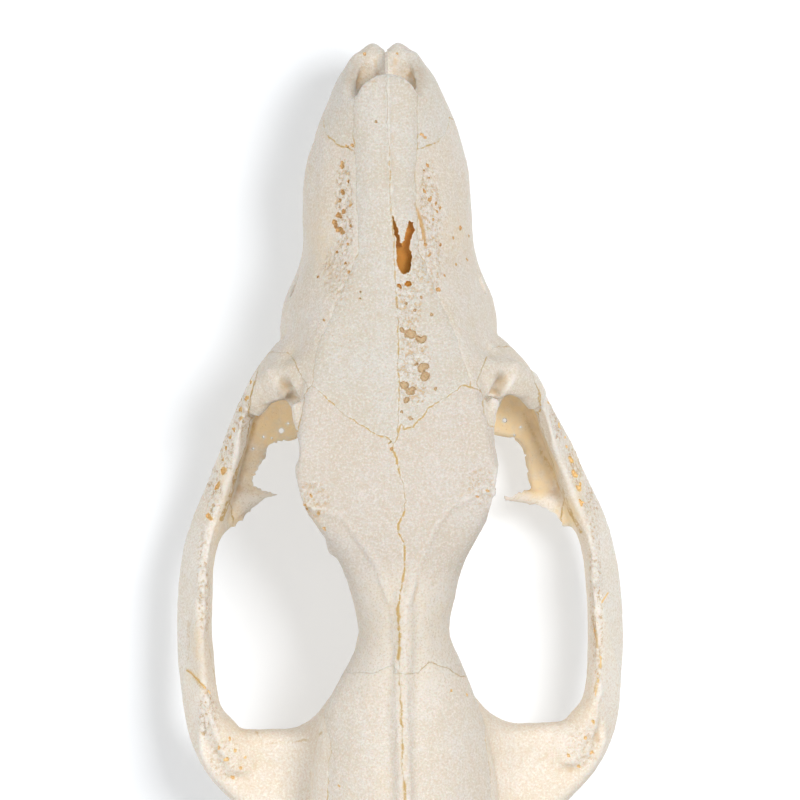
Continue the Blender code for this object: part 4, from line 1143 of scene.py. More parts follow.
def bone_finish(name, tone=(1.0, 1.0, 1.0), seam_strength=0.8, pepper=0.35, depths=(0.72, 0.48, 0.22)):
    """The bone's material: its tone, how much seam stain and pepper it shows, and its pits' colour."""
    paint = Paint(name)
    place = paint.millimetres()
    # Clean bone and slightly duller clouds on it
    light = tuple(part * own for part, own in zip(CREAM, tone)) + (1,)
    dull = (light[0] * 0.96, light[1] * 0.92, light[2] * 0.85, 1)
    slow = paint.noise(place, 0.16, 3.0)
    middle = paint.noise(place, 0.9, 3.0, 0.6)
    sand = paint.noise(place, 3.2, 3.0, 0.75)
    fibre = paint.noise(place, 1.9, 4.0, 0.7)
    grid = {"Vector": place, "Scale": 2.4, "Randomness": 1.0}
    pores = paint.node("ShaderNodeTexVoronoi", {}, grid, "Distance")
    spongy = paint.attribute("spongy")
    hollow = paint.attribute("hollow")
    colour = paint.blend((0.55 * slow + 0.45 * middle).between(0.38, 0.62), light, dull)
    # Painted light that lifts the hooks and arches out of shade, and a paler tone at the waist
    colour = paint.blend(paint.attribute("lit_and_pale"), colour, WHITE)
    # Sandy grain, warmer and paler than the ground
    warm = (light[0] * 0.91, light[1] * 0.83, light[2] * 0.72, 1)
    colour = paint.blend(sand.between(0.50, 0.66) * 0.85, colour, warm)
    pale = tuple(min(0.92, part * 1.16) for part in light[:3]) + (1,)
    colour = paint.blend(sand.between(0.50, 0.35) * 0.8, colour, pale)
    # Film, cracks, and the lace and flakes of spongy bone
    stain = paint.attribute("stain") * (0.75 + 0.5 * middle.between(0.3, 0.7))
    colour = paint.blend(stain.between(0.0, 1.15), colour, TAN)
    colour = paint.blend(hollow.between(0.12, 0.9) * 0.8, colour, CREVICE)
    lace = fibre.between(0.53, 0.62) * spongy.between(0.1, 0.9)
    colour = paint.blend(lace * 0.85, colour, LACE)
    colour = paint.blend(fibre.between(0.46, 0.36) * spongy * 0.7, colour, FLAKE)
    # Pores, then bone that stands out and has been rubbed pale
    rough = (spongy + pepper) * paint.noise(place, 0.5, 2.0).between(0.34, 0.6)
    specks = pores.between(0.22, 0.10) * rough.between(0.05, 0.8)
    colour = paint.blend(specks * 0.65, colour, SPECK)
    colour = paint.blend(hollow.between(-0.25, -1.0) * 0.6, colour, FLAKE)
    # Seams, whose stain comes and goes in beads
    uneven = paint.noise(place, 0.35, 2.0).between(0.3, 0.62)
    beads = paint.noise(place, 1.3, 3.0, 0.7).between(0.36, 0.56)
    seam = paint.attribute("seam") * (0.3 + 0.7 * uneven) * (0.3 + 0.95 * beads) * seam_strength
    colour = paint.blend(seam.between(0.06, 0.75), colour, SEAM_STAIN)
    # Pits, the turbinate, then painted shade in the depths and darker tones on a facet and the parietals
    deep = paint.attribute("deep")
    colour = paint.blend(deep.between(0.05, 0.5) * 0.85, colour, depths + (1,))
    colour = paint.blend(deep.between(0.65, 0.95), colour, AMBER_TONE)
    colour = paint.blend(paint.attribute("shade"), colour, SHADE_AND_DARK_TONE)
    paint.feed(paint.shader.inputs["Base Color"], colour)
    paint.feed(paint.shader.inputs["Roughness"], 0.52 + 0.2 * middle)
    relief = 0.6 * sand + 0.3 * middle - 0.5 * specks - 0.5 * lace
    bump = paint.node("ShaderNodeBump", {}, {"Strength": 0.6, "Distance": 0.00013, "Height": relief})
    paint.feed(paint.shader.inputs["Normal"], bump)
    paint.shader.inputs["Specular IOR Level"].default_value = 0.35
    paint.shader.inputs["Subsurface Weight"].default_value = 0.1
    paint.shader.inputs["Subsurface Scale"].default_value = 0.001
    return paint.material


def neighbour_mean(values, edges, degree):
    """Each vertex's mean over its neighbours."""
    total = np.zeros_like(values)
    for k in range(values.shape[1]):
        total[:, k] += np.bincount(edges[:, 0], values[edges[:, 1], k], len(values))
        total[:, k] += np.bincount(edges[:, 1], values[edges[:, 0], k], len(values))
    return total / degree[:, None]


def record_values(mesh, name, values):
    """Keeps one number for each vertex, which the material reads as an attribute."""
    layer = mesh.attributes.new(name, "FLOAT", "POINT")
    layer.data.foreach_set("value", np.clip(values, -1, 1).astype(np.float32))


# Each pit is dug as lobes: how many, how far out and how wide for the pit's size, the narrowest and how
# deep for the pit. Then the height and closeness of its uneven walls, and a level that stands for none.
LOBES = 3
LOBE_SCATTER = 0.6
LOBE_SHARE = (0.45, 0.75)
NARROWEST = 0.15
LOBE_DEPTH = 0.8
UNEVEN_WALLS = (0.16, 3.2)
NO_SURFACE = -50


def dig(bone, pits):
    """Pits in the upper surface, as (x, t, half width, half length, depth), fused where they meet."""
    top = height_finder(bone)
    eggs = []
    chance = np.random.default_rng(len(pits))
    for x, t, half_x, half_t, deep in pits:
        for lobe in range(LOBES):
            lobe_x = x + half_x * chance.uniform(-LOBE_SCATTER, LOBE_SCATTER) * (lobe > 0)
            lobe_t = t + half_t * chance.uniform(-LOBE_SCATTER, LOBE_SCATTER) * (lobe > 0)
            share = chance.uniform(*LOBE_SHARE)
            level = top(lobe_x, lobe_t, NO_SURFACE)
            if level > NO_SURFACE:
                wide, long = max(NARROWEST, share * half_x), max(NARROWEST, share * half_t)
                size = (wide, long, LOBE_DEPTH * deep)
                eggs.append(blob((lobe_x, lobe_t, level), size, (0, 0, 360 * share)))
    cutter = fuse(eggs, PIT_GRAIN, softening=1)
    at, out = places_and_normals(cutter.data)
    tall, close = UNEVEN_WALLS
    push = np.array([tall * noise.noise(Vector(place) * close) for place in at.tolist()], np.float32)
    cutter.data.vertices.foreach_set("co", (at + out * push[:, None]).ravel())
    carve(bone, [cutter])


# Seams that have almost closed, as (x, t, half width, half length, strength)
CLOSED = (
    (5.5, 87.6, 4.4, 2.6, 0.75), (-5.5, 87.4, 4.4, 2.6, 0.5), (11.5, 98.0, 3.0, 14.0, 0.3),
    (-11.5, 98.0, 3.0, 14.0, 0.3), (8.4, 38.0, 3.6, 10.0, 0.85), (-7.4, 38.0, 3.6, 10.0, 0.8),
    (-29.6, 87.0, 1.6, 3.6, 0.9), (30.3, 88.5, 1.2, 3.4, 0.9), (5.0, 9.0, 1.0, 4.0, 0.6),
    (-4.4, 9.0, 1.0, 4.0, 0.5), (28.4, 79.0, 3.0, 6.0, 0.85),
    (-28.4, 79.0, 3.0, 6.0, 0.85), (4.6, 22.0, 0.9, 8.0, 0.5), (-4.0, 22.0, 0.9, 8.0, 0.4),
    (0.0, 87.0, 2.0, 1.4, 0.6), (0.0, 8.0, 1.2, 7.0, 0.6),
)

# How far a seam's stain reaches, on the crest and elsewhere, and how many rings of edges it may cross
CREST_REACH = 0.42
SEAM_REACH = 0.24
SEAM_RINGS = 4
# A distance past every reach, then half the crest's breadth and where it starts
FAR = 9.0
CREST_HALF = 1.5
CREST_START = 78
# How strongly a pit takes its colour, and the angle from which an edge is sharp
PIT_COLOUR = 0.55
SHARP_ANGLE = math.radians(50)
# How far a place lies under its neighbours' mean where a hollow counts as full
FULL_HOLLOW = 0.05
TURBINATE_LOW = 22.0
TURBINATE_HIGH = 27.6


def groove(path, radius):
    """A thin crack in the upper surface, along a path of (x, t)."""
    return bar([(x, t, top_at(x, t)) for x, t in path], [radius] * len(path), 8)


def dress(bone, kind, side, material, pits=(), holes=()):
    """Digs a bone's pits, notes where it is cut, hollow or stained, and puts it in its place."""
    name = kind if side == 0 else f"{kind}_{SIDE_NAME[side]}"
    before = keys_of(places_and_normals(bone.data)[0])
    for hole in holes:
        carve(bone, [hole])
    if pits:
        dig(bone, pits)
        keep_largest(bone)
    mesh = bone.data
    at, out = places_and_normals(mesh)
    keys = keys_of(at)
    pitted = ~np.isin(keys, before)
    cut = ~np.isin(keys, whole_surface) & ~pitted
    edges = np.empty(len(mesh.edges) * 2, np.int32)
    mesh.edges.foreach_get("vertices", edges)
    edges = edges.reshape(-1, 2)
    degree = np.maximum(1, np.bincount(edges.ravel(), minlength=len(at)))
    mean = neighbour_mean(neighbour_mean(at.astype(float), edges, degree), edges, degree)
    hollow = ((mean - at) * out).sum(axis=1) / FULL_HOLLOW
    hollow = neighbour_mean(hollow[:, None], edges, degree)[:, 0]
    apart = np.where(cut, 0.0, FAR)
    lengths = np.linalg.norm(at[edges[:, 0]] - at[edges[:, 1]], axis=1)
    for _ in range(SEAM_RINGS):
        nearer = apart[edges] + lengths[:, None]
        np.minimum.at(apart, edges[:, 0], nearer[:, 1])
        np.minimum.at(apart, edges[:, 1], nearer[:, 0])
    inside = neighbour_mean(pitted.astype(float)[:, None], edges, degree)[:, 0]
    on_crest = (np.abs(at[:, 0]) < CREST_HALF) & (at[:, 1] > CREST_START)
    reach = np.where(on_crest, CREST_REACH, SEAM_REACH)
    on_floor = at[:, 2] < FLOOR_TOP
    crease = np.maximum(spread(at, CREASES) * on_floor, spread(at, STAIN_LINES))
    record_values(mesh, "seam", np.maximum((1 - apart / reach) * (1 - spread(at, CLOSED)), crease))
    amber = spread(at, AMBER)
    turbinate = amber * (at[:, 2] < TURBINATE_HIGH) * (at[:, 2] > TURBINATE_LOW)
    pit = np.where(pitted, inside * np.maximum(PIT_COLOUR, amber), 0.0)
    record_values(mesh, "deep", np.maximum(pit, turbinate))
    # Painted shade in the tear ducts, nostrils and orbits' floors, and darker tones on a facet and the
    # parietals
    floor_shade = spread(at, FLOOR_SHADES, SOFT) * on_floor
    record_values(mesh, "shade", np.maximum(spread(at, SHADES.get(kind, ()), SOFT), floor_shade))
    # Painted light on the hooks and arches, and a paler tone at the waist
    record_values(mesh, "lit_and_pale", spread(at, LIT_AND_PALE, SOFT))
    record_values(mesh, "hollow", np.where(cut | pitted, 0.0, hollow))
    record_values(mesh, "spongy", spread(at, SPONGY))
    film = np.maximum(spread(at, STAINS, SOFT), spread(at, FLOOR_STAINS) * on_floor)
    record_values(mesh, "stain", film)
    mesh.transform(to_metres)
    mesh.materials.clear()
    mesh.materials.append(material)
    mesh.shade_smooth()
    mesh.set_sharp_from_angle(angle=SHARP_ANGLE)
    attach(bone, "root")
    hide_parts(name)


# Nasals: two long, thin blades that roof the nose and widen towards the brow. Between them runs a thin
# raised seam. The right one has rotted through to the yellow turbinate under it.

NASAL_DEPTH = 2.3
NASAL_HOLE_FLOOR = 16
INTERNASAL = [
    (0.0, -2), (0.0, 4.6), (0.0, 13.6), (-0.1, 20.6), (-0.4, 25.4), (-0.6, 35.9), (-0.8, 41.4),
    (-0.6, 49.8), (-0.1, 55.3), (0.3, 55.8),
]
NASAL_REST = {
    1: [
        (0.9, 55.0), (2.8, 54.3), (4.6, 53.1), (6.9, 51.7), (9.5, 49.0), (11.4, 47.5), (10.4, 41.8),
        (8.7, 38.4), (6.5, 33.6), (4.4, 28.8), (4.5, 19.1), (4.8, 13.5), (4.6, 7.1), (5.4, -2),
    ],
    -1: [
        (-0.4, 54.7), (-0.8, 53.0), (-1.2, 53.9), (-2.5, 53.5), (-5.2, 50.7), (-7.3, 49.5), (-9.3, 47.9),
        (-10.8, 48.3), (-8.6, 40.9), (-6.7, 36.0), (-3.8, 29.0), (-3.6, 19.3), (-4.0, 13.7), (-4.2, 7.6),
        (-5.2, -2),
    ],
}
NASAL_HOLE = [
    (-0.35, 24.2), (-0.55, 26.2), (-0.74, 27.8), (-0.83, 29.5), (-0.93, 31.2), (-1.6, 32.3), (-2.44, 32.1),
    (-2.74, 31.2), (-2.91, 30.0), (-2.52, 28.6), (-2.69, 27.6), (-3.4, 26.2), (-3.2, 25.1), (-2.6, 24.9),
    (-2.2, 26.2), (-1.99, 27.6), (-1.6, 28.5), (-1.23, 27.9), (-0.99, 26.7), (-0.8, 25.4),
]
NASAL_PITS = {
    1: [
        (1.6, 11.1, 0.13, 0.15, 0.3), (4.35, 34.6, 0.2, 0.2, 0.5), (4.4, 35.5, 0.18, 0.22, 0.5),
        (9.2, 38.4, 0.2, 0.25, 0.5),
    ],
    -1: [
        (-1.0, 33.8, 0.35, 0.4, 0.5), (-2.3, 33.5, 0.4, 0.45, 0.6), (-1.4, 40.1, 0.5, 0.45, 0.5),
        (-2.6, 40.6, 1.1, 0.6, 0.6), (-3.8, 41.5, 1.0, 0.7, 0.6), (-3.1, 44.9, 0.3, 0.3, 0.5),
        (-4.2, 45.1, 0.7, 1.0, 0.6), (-4.4, 46.5, 0.8, 0.8, 0.6), (-1.6, 47.8, 0.8, 0.6, 0.5),
        (-2.1, 48.6, 0.8, 0.7, 0.6), (-1.6, 49.8, 0.4, 0.5, 0.5), (-4.1, 35.6, 0.2, 0.2, 0.4),
        (-5.4, 38.0, 0.25, 0.3, 0.4), (-1.9, 36.4, 0.25, 0.3, 0.4), (-3.0, 37.4, 0.3, 0.25, 0.4),
        (-5.6, 48.3, 0.3, 0.25, 0.4), (-2.2, 52.4, 0.3, 0.3, 0.4), (-0.9, 51.3, 0.25, 0.3, 0.4),
    ],
}
nasal_look = bone_finish("nasal_bone", (0.95, 0.96, 0.97), 0.6, 0.35, (0.55, 0.38, 0.2))
for side in SIDES:
    outline = wavy(up_to_seam(INTERNASAL, side) + NASAL_REST[side])
    nasal = take_bone("nasal", side, plate(outline, lambda x, t: roof_z(t) - NASAL_DEPTH, ABOVE))
    holes = [plate(wavy(NASAL_HOLE, 0.2, 0.25), NASAL_HOLE_FLOOR, ABOVE)] if side == -1 else []
    dress(nasal, "nasal", side, nasal_look, NASAL_PITS[side], holes)


# Lacrimals: small, smooth bones on the front rim of each orbit, folded round the opening of the tear
# duct. Each meets the maxilla, the frontal and the jugal along a fine seam.

LACRIMAL_BASE = 18.6
LACRIMAL = [
    (17.8, 42.7), (16.4, 42.6), (14.3, 42.7), (13.2, 44.2), (12.4, 46.2), (11.7, 47.6), (12.3, 48.8),
    (12.5, 51.1), (13.2, 53.6), (15.5, 54), (18.6, 53.2), (20.3, 51.4), (20.0, 49.0), (19.0, 45.6),
]
lacrimal_look = bone_finish("lacrimal_bone", (1.07, 1.05, 1.02), 0.5, 0.0)
for side in SIDES:
    region = plate(wavy(bent(LACRIMAL, side)), LACRIMAL_BASE, ABOVE)
    dress(take_bone("lacrimal", side, region), "lacrimal", side, lacrimal_look)


# Squamosals: the rear of each arch, its root on the braincase and the joint for the lower jaw. Their
# profile ends in the crest on the side of the braincase, and both have cracked along the arch.

SQUAMOSAL_INNER = 9.8
SQUAMOSAL = [
    (74.5, 23), (76.6, 17.4), (82, 16.2), (90, 13.4), (97, 11.4), (98.4, 8.8), (100.6, 6.0), (101.2, -3),
    (106.8, -3), (107.4, 6), (109.6, 16), (111.4, 23),
]
SQUAMOSAL_CREST = {
    1: [(108, 26.0), (104, 27.4), (97, 27.4), (94, 25.6), (92, 22.6), (87, 21.6), (80, 22.6)],
    -1: [(105, 25.4), (97, 24.8), (93, 22.4), (87, 21.6), (80, 22.6)],
}
SQUAMOSAL_PITS = {
    1: [
        (24.0, 96.2, 0.25, 0.4, 0.4), (23.4, 98.0, 0.3, 0.3, 0.4), (24.6, 99.2, 0.3, 0.5, 0.5),
        (22.6, 100.4, 0.25, 0.3, 0.4), (23.8, 101.6, 0.3, 0.3, 0.4), (17.6, 94.9, 0.3, 0.35, 0.4),
        (25.6, 97.6, 0.2, 0.4, 0.4), (21.9, 98.9, 0.2, 0.2, 0.3),
    ],
    -1: [
        (-25.4, 97.4, 0.3, 0.35, 0.4), (-23.0, 99.6, 0.25, 0.4, 0.4), (-24.4, 101.2, 0.35, 0.3, 0.4),
        (-26.6, 95.2, 0.2, 0.4, 0.4), (-26.2, 99.4, 0.3, 0.35, 0.4),
    ],
}
SQUAMOSAL_CRACKS = {
    1: [([(30.1, 86.4), (29.2, 87.0), (28.2, 88.0), (27.4, 89.0), (26.6, 89.9)], 0.16)],
    -1: [
        ([(-27.0, 81.6), (-27.1, 82.8), (-27.3, 83.8)], 0.16), ([(-27.8, 86.0), (-27.8, 87.6)], 0.11),
        ([(-27.4, 89.2), (-26.9, 91.4)], 0.09),
    ],
}
squamosal_look = bone_finish("squamosal_bone", (1.22, 1.19, 1.17), 0.75, 0.2, (0.84, 0.60, 0.28))
for side in SIDES:
    inner, outer = sorted((side * SQUAMOSAL_INNER, side * WIDE))
    region = plate(wavy(SQUAMOSAL + SQUAMOSAL_CREST[side]), inner, outer, "X")
    squamosal = take_bone("squamosal", side, region)
    cracks = [groove(path, radius) for path, radius in SQUAMOSAL_CRACKS[side]]
    dress(squamosal, "squamosal", side, squamosal_look, SQUAMOSAL_PITS[side], cracks)


# Jugals: the front of each arch, a tall thin bar with a spongy upper edge. Each is wedged between the
# lacrimal and the maxilla in front and lies under the tip of the squamosal behind.

JUGAL_PLAN = [
    (16.6, 40.5), (20.2, 49.4), (19.9, 51.8), (21.4, 58), (23.3, 63.4), (22.6, 68), (22.4, 101),
    (38, 101), (38, 40.5),
]
JUGAL_PROFILE = [
    (40, ABOVE), (40, 24.0), (45, 19.6), (51, 15.2), (58, 11.6), (66, 7.0), (69, -3), (103, -3),
    (103, ABOVE),
]
JUGAL_PITS = {
    1: [
        (19.9, 46.8, 0.25, 0.5, 0.5), (20.6, 49.0, 0.45, 0.4, 0.7), (21.4, 50.4, 0.4, 0.45, 0.7),
        (21.5, 51.8, 0.4, 0.35, 0.7), (22.5, 53.2, 0.4, 0.3, 0.6), (23.0, 54.4, 0.3, 0.35, 0.6),
        (23.5, 55.8, 0.25, 0.4, 0.6), (24.2, 58.9, 0.55, 0.6, 0.9), (24.9, 61.1, 0.5, 0.9, 0.9),
        (26.3, 65.1, 0.35, 0.8, 0.8), (24.0, 57.4, 0.2, 0.3, 0.5), (22.2, 48.8, 0.2, 0.2, 0.4),
    ],
    -1: [
        (-22.4, 51.8, 0.35, 0.4, 0.6), (-21.4, 50.6, 0.25, 0.3, 0.5), (-23.1, 53.6, 0.7, 0.45, 0.6),
        (-23.8, 56.8, 0.3, 0.3, 0.5), (-24.3, 58.8, 0.35, 0.9, 0.6), (-24.7, 60.4, 0.5, 1.0, 0.8),
        (-25.4, 62.6, 0.35, 0.9, 0.7), (-25.6, 64.8, 0.25, 0.7, 0.6), (-23.6, 55.4, 0.25, 0.25, 0.5),
    ],
}
jugal_look = bone_finish("jugal_bone", (1.16, 1.16, 1.16), 0.85, 0.2, (0.82, 0.57, 0.24))
for side in SIDES:
    region = plan_and_profile(bent(JUGAL_PLAN, side), (BELOW, ABOVE), JUGAL_PROFILE)
    jugal = take_bone("jugal", side, region)
    cracks = [groove([(-27.3, 79.8), (-28.3, 78.3), (-29.1, 77.2)], 0.12)] if side == -1 else []
    dress(jugal, "jugal", side, jugal_look, JUGAL_PITS[side], cracks)


# Frontals: the brow and the walls of the orbits, thin plates of bone joined in the middle by a stained,
# wandering seam. Behind the brow they narrow to a waist.

METOPIC = [
    (0.3, 45), (0.3, 55.8), (0.4, 56.3), (-0.3, 59.2), (-1.3, 63.7), (-1.0, 65.2), (-0.1, 67.5),
    (-0.9, 69.5), (-0.9, 72.5), (0.0, 77.5), (0.2, 84.5), (0.3, 87.5),
]
FRONTAL_REST = {
    1: [
        (1.1, 86.3), (3.7, 87.4), (7.4, 87.3), (9.4, 88.4), (17.5, 88.2), (17.5, 48.6), (12.2, 48.2),
        (11.2, 47.2), (6.0, 45),
    ],
    -1: [
        (-2.4, 87.6), (-3.9, 86.1), (-6.5, 87.0), (-8.3, 88.3), (-17.5, 88.2), (-17.5, 48.6),
        (-12.0, 48.8), (-10.6, 48.0), (-6.0, 45),
    ],
}
FRONTAL_PROFILE = [(44, ABOVE), (44, 16.5), (60, 14.6), (90, 14.6), (90, ABOVE)]
FRONTAL_PITS = {
    1: [
        (11.9, 62.6, 0.2, 0.3, 0.4), (12.6, 64.2, 0.25, 0.5, 0.5), (10.9, 65.2, 0.25, 0.35, 0.4),
        (11.8, 66.4, 0.2, 0.4, 0.4), (10.2, 67.2, 0.25, 0.3, 0.4), (0.5, 56.4, 0.3, 0.4, 0.5),
    ],
    -1: [(-0.9, 71.0, 0.2, 0.35, 0.3), (-12.6, 62.6, 0.2, 0.3, 0.3), (-11.2, 63.4, 0.25, 0.2, 0.3)],
}
frontal_look = bone_finish("frontal_bone", (0.965, 0.955, 0.965), 1.0, 0.35)
for side in SIDES:
    plan = up_to_seam(METOPIC, side) + FRONTAL_REST[side]
    region = plan_and_profile(plan, (4, ABOVE), FRONTAL_PROFILE)
    dress(take_bone("frontal", side, region), "frontal", side, frontal_look, FRONTAL_PITS[side])


# Occipital: the rear wall of the skull round the spinal opening. It is one bone with the two condyles,
# which carry the head on the neck, and the processes on which the skull rests.

OCCIPITAL = [(105.4, -4), (106.4, 6), (109.0, 16), (110, ABOVE), (130, ABOVE), (130, -4)]
region = plate(wavy(OCCIPITAL), -WIDE, WIDE, "X")
occipital_look = bone_finish("occipital_bone", (1.05, 1.03, 1.0), 0.8, 0.3)
dress(take_bone("occipital", 0, region), "occipital", 0, occipital_look)


# Parietals: the two thin plates that roof the braincase. They rise to a low, beaded crest along the
# seam between them, where the chewing muscles were fixed.

PARIETAL_HALF = 16
PARIETAL = [
    (84, ABOVE), (84, 14.6), (100, 15.6), (111.6, 16.6), (112.8, 25), (114.6, 29.6), (114.9, ABOVE),
]
CREST_SEAM = [(0.2, 84), (0.1, 90), (0.1, 94), (0.1, 100), (-0.2, 104), (-0.2, 118)]
PARIETAL_PITS = {
    1: [(8.9, 103.0, 0.25, 0.2, 0.3)],
    -1: [(-6.9, 90.2, 0.15, 0.3, 0.3), (-9.1, 90.8, 0.15, 0.35, 0.3), (-11.6, 97.2, 0.25, 0.25, 0.4)],
}
parietal_look = bone_finish("parietal_bone", (1.10, 1.09, 1.09), 0.8, 0.25, (0.76, 0.50, 0.2))
for side in SIDES:
    outer = side * PARIETAL_HALF
    plan = up_to_seam(CREST_SEAM, side) + [(outer, 118), (outer, 84)]
    region = plan_and_profile(plan, (4, ABOVE), PARIETAL)
    dress(take_bone("parietal", side, region), "parietal", side, parietal_look, PARIETAL_PITS[side])


# Premaxillae: the blunt tips of the snout, which hold the incisors and frame the nostrils. Their rear
# ends climb in a point between the nasals and the maxillae.

PREMAXILLA_HALF = 16.0
# How far a side bone reaches past the midline before its twin is cut
MIDLINE_LAP = 0.1
PREMAXILLA = [
    (-5, ABOVE), (15.4, ABOVE), (15.0, 26.6), (14.0, 23.2), (10.7, 19), (11.1, 14), (11.5, 4), (-5, 4),
]
PREMAXILLA_PITS = {
    1: [(3.0, 1.6, 0.25, 0.4, 0.3), (4.9, 14.3, 0.3, 0.3, 0.4), (5.6, 14.4, 0.4, 0.25, 0.4)],
    -1: [(-1.6, 1.6, 0.3, 0.25, 0.3), (-4.7, 13.0, 0.3, 0.25, 0.4), (-5.2, 13.4, 0.3, 0.2, 0.4)],
}
premaxilla_look = bone_finish("premaxilla_bone", (1.03, 1.035, 1.04), 0.7, 0.35)
for side in SIDES:
    inner, outer = sorted((-side * MIDLINE_LAP, side * PREMAXILLA_HALF))
    region = plate(wavy(PREMAXILLA), inner, outer, "X")
    premaxilla = take_bone("premaxilla", side, region)
    dress(premaxilla, "premaxilla", side, premaxilla_look, PREMAXILLA_PITS[side])


# Nasal septum: the thin upright plate of bone between the nostrils, whose upper edge shows as a pale
# line. It stands on the floor of the nose, with its edges rounded.

SEPTUM_HALF = 0.2
SEPTUM_ROUNDING = 0.06
SEPTUM = [(1.3, 14.0), (1.3, 17.6), (2.2, 19.4), (4.4, 22.4), (6.0, 24.0), (9.0, 24.4), (9.0, 15.0)]
septum = plate(SEPTUM, -SEPTUM_HALF, SEPTUM_HALF, "X")
septum.name = "nasal_septum"
bpy.ops.object.select_all(action="DESELECT")
septum.select_set(True)
bpy.context.view_layer.objects.active = septum
bpy.ops.object.mode_set(mode="EDIT")
bpy.ops.mesh.select_all(action="SELECT")
bpy.ops.mesh.tris_convert_to_quads()
bpy.ops.mesh.subdivide(number_cuts=2)
bpy.ops.object.mode_set(mode="OBJECT")
edge = septum.modifiers.new("edge", "BEVEL")
edge.width = SEPTUM_ROUNDING
edge.segments = 2
apply_all(septum)
septum.data.transform(to_metres)
septum.data.materials.append(premaxilla_look)
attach(septum, "root")


# Palatine: the rear of the hard palate and the walls of the passage to the throat, thin plates that are
# joined to the maxillae in front and end in two small hooks behind.

PALATINE_HALF = [(0, 52.0), (3.4, 52.4), (7.4, 56.2), (8.8, 61.8), (10.4, 64.6), (10.4, 87)]
PALATINE_PROFILE = [
    (50, -4), (50, 8.4), (58, 9.6), (64, 12.4), (70, 13.4), (75, 10.6), (87.4, 9.6), (88, -4),
]
palatine_plan = PALATINE_HALF + [(-x, t) for x, t in reversed(PALATINE_HALF)]
region = plan_and_profile(palatine_plan, (-5, 30), PALATINE_PROFILE)
palatine_look = bone_finish("palatine_bone", (1.0, 0.98, 0.96), 0.7, 0.3)
dress(take_bone("palatine", 0, region), "palatine", 0, palatine_look)


# Sphenoid: the floor of the braincase between the palatine and the occipital, with the ear capsules on
# both sides. It is what is left there once the bones round it are cut off.

SPHENOID_HALF = 14.6
SPHENOID = [(63.5, ABOVE), (63.5, -4), (118, -4), (118, ABOVE)]
region = plate(SPHENOID, -SPHENOID_HALF, SPHENOID_HALF, "X")
sphenoid_look = bone_finish("sphenoid_bone", (1.0, 0.98, 0.96), 0.7, 0.3)
dress(take_bone("sphenoid", 0, region), "sphenoid", 0, sphenoid_look)


# Maxillae: the sides of the snout and the hard palate, which carry the canines and cheek teeth. Beside the
# nasals their surface is spongy and has weathered into open holes.

MAXILLA_PITS = {
    1: [
        (6.5, 17.1, 0.45, 0.9, 0.35), (6.6, 20.6, 0.4, 0.45, 0.5), (6.9, 21.8, 0.35, 0.4, 0.5),
        (6.5, 23.3, 0.35, 0.4, 0.6), (7.2, 23.8, 0.6, 0.6, 0.7), (7.6, 24.9, 0.5, 0.9, 0.8),
        (7.3, 26.0, 0.7, 0.5, 0.7), (6.7, 26.3, 0.4, 0.35, 0.6), (7.5, 29.0, 0.22, 0.22, 0.6),
        (10.2, 32.4, 0.2, 0.2, 0.5), (5.6, 19.2, 0.2, 0.3, 0.4), (5.9, 27.9, 0.25, 0.2, 0.4),
        (6.4, 30.6, 0.3, 0.2, 0.4), (5.8, 31.8, 0.35, 0.25, 0.4), (9.6, 38.4, 0.2, 0.2, 0.4),
        (5.5, 22.4, 0.16, 0.3, 0.3), (5.6, 25.4, 0.16, 0.25, 0.3),
    ],
    -1: [
        (-5.3, 17.3, 0.25, 0.3, 0.4), (-4.9, 18.0, 0.2, 0.25, 0.4), (-5.5, 19.0, 0.2, 0.25, 0.4),
        (-4.9, 20.9, 0.3, 0.5, 0.4), (-5.6, 22.0, 0.35, 0.4, 0.4), (-6.5, 22.6, 0.2, 0.2, 0.4),
        (-6.9, 23.2, 0.18, 0.2, 0.4), (-6.5, 23.7, 0.2, 0.16, 0.4), (-6.0, 24.8, 0.2, 0.2, 0.4),
        (-6.9, 28.3, 0.25, 0.28, 0.8), (-9.8, 26.0, 0.35, 0.3, 0.5), (-10.9, 27.2, 0.2, 0.3, 0.4),
        (-8.7, 27.4, 0.18, 0.18, 0.4), (-9.0, 31.0, 0.2, 0.25, 0.4), (-10.6, 30.5, 0.16, 0.2, 0.4),
        (-4.1, 32.9, 0.24, 0.26, 0.8), (-6.3, 34.6, 0.4, 0.35, 0.5), (-4.9, 28.2, 0.4, 0.25, 0.4),
        (-5.2, 29.8, 0.35, 0.2, 0.4), (-7.4, 32.6, 0.2, 0.2, 0.4), (-11.6, 24.4, 0.12, 0.2, 0.3),
    ],
}
maxilla_look = bone_finish("maxilla_bone", (1.065, 1.05, 1.04), 0.6, 0.5, (0.62, 0.37, 0.13))
for side in SIDES:
    inner, outer = sorted((-side * MIDLINE_LAP, side * WIDE))
    region = plate([(-5, -5), (-5, ABOVE), (75, ABOVE), (75, -5)], inner, outer, "X")
    dress(take_bone("maxilla", side, region), "maxilla", side, maxilla_look, MAXILLA_PITS[side])
bpy.data.objects.remove(skull)


# Teeth, of ivory-coloured enamel: on each side five small incisors, a long curved canine, three bladed
# premolars and three molars with three-cornered crowns. The last molar is missing from its socket.

INCISORS = ((1.6, 2.0, 4.4), (3.1, 2.8, 3.7), (4.5, 4.2, 3.6), (5.6, 6.0, 3.5), (6.5, 8.0, 3.3))
PREMOLARS = ((10.0, 21.8, 1.3, 0.75, 2.2), (10.3, 27.6, 2.5, 1.1, 3.6), (11.4, 33.2, 2.8, 1.3, 4.2))
MOLARS = ((12.2, 39.0, 5.0, 4.6), (14.6, 44.9, 5.6, 5.4), (16.8, 51.0, 5.6, 6.0))
MOLAR_SKEW = 0.32
MOLAR_OUTLINE = [
    (0.5, -0.5), (0.44, 0.0), (0.52, 0.5), (0.1, 0.42), (-0.38, 0.16), (-0.5, -0.1), (-0.3, -0.38),
    (0.1, -0.5),
]
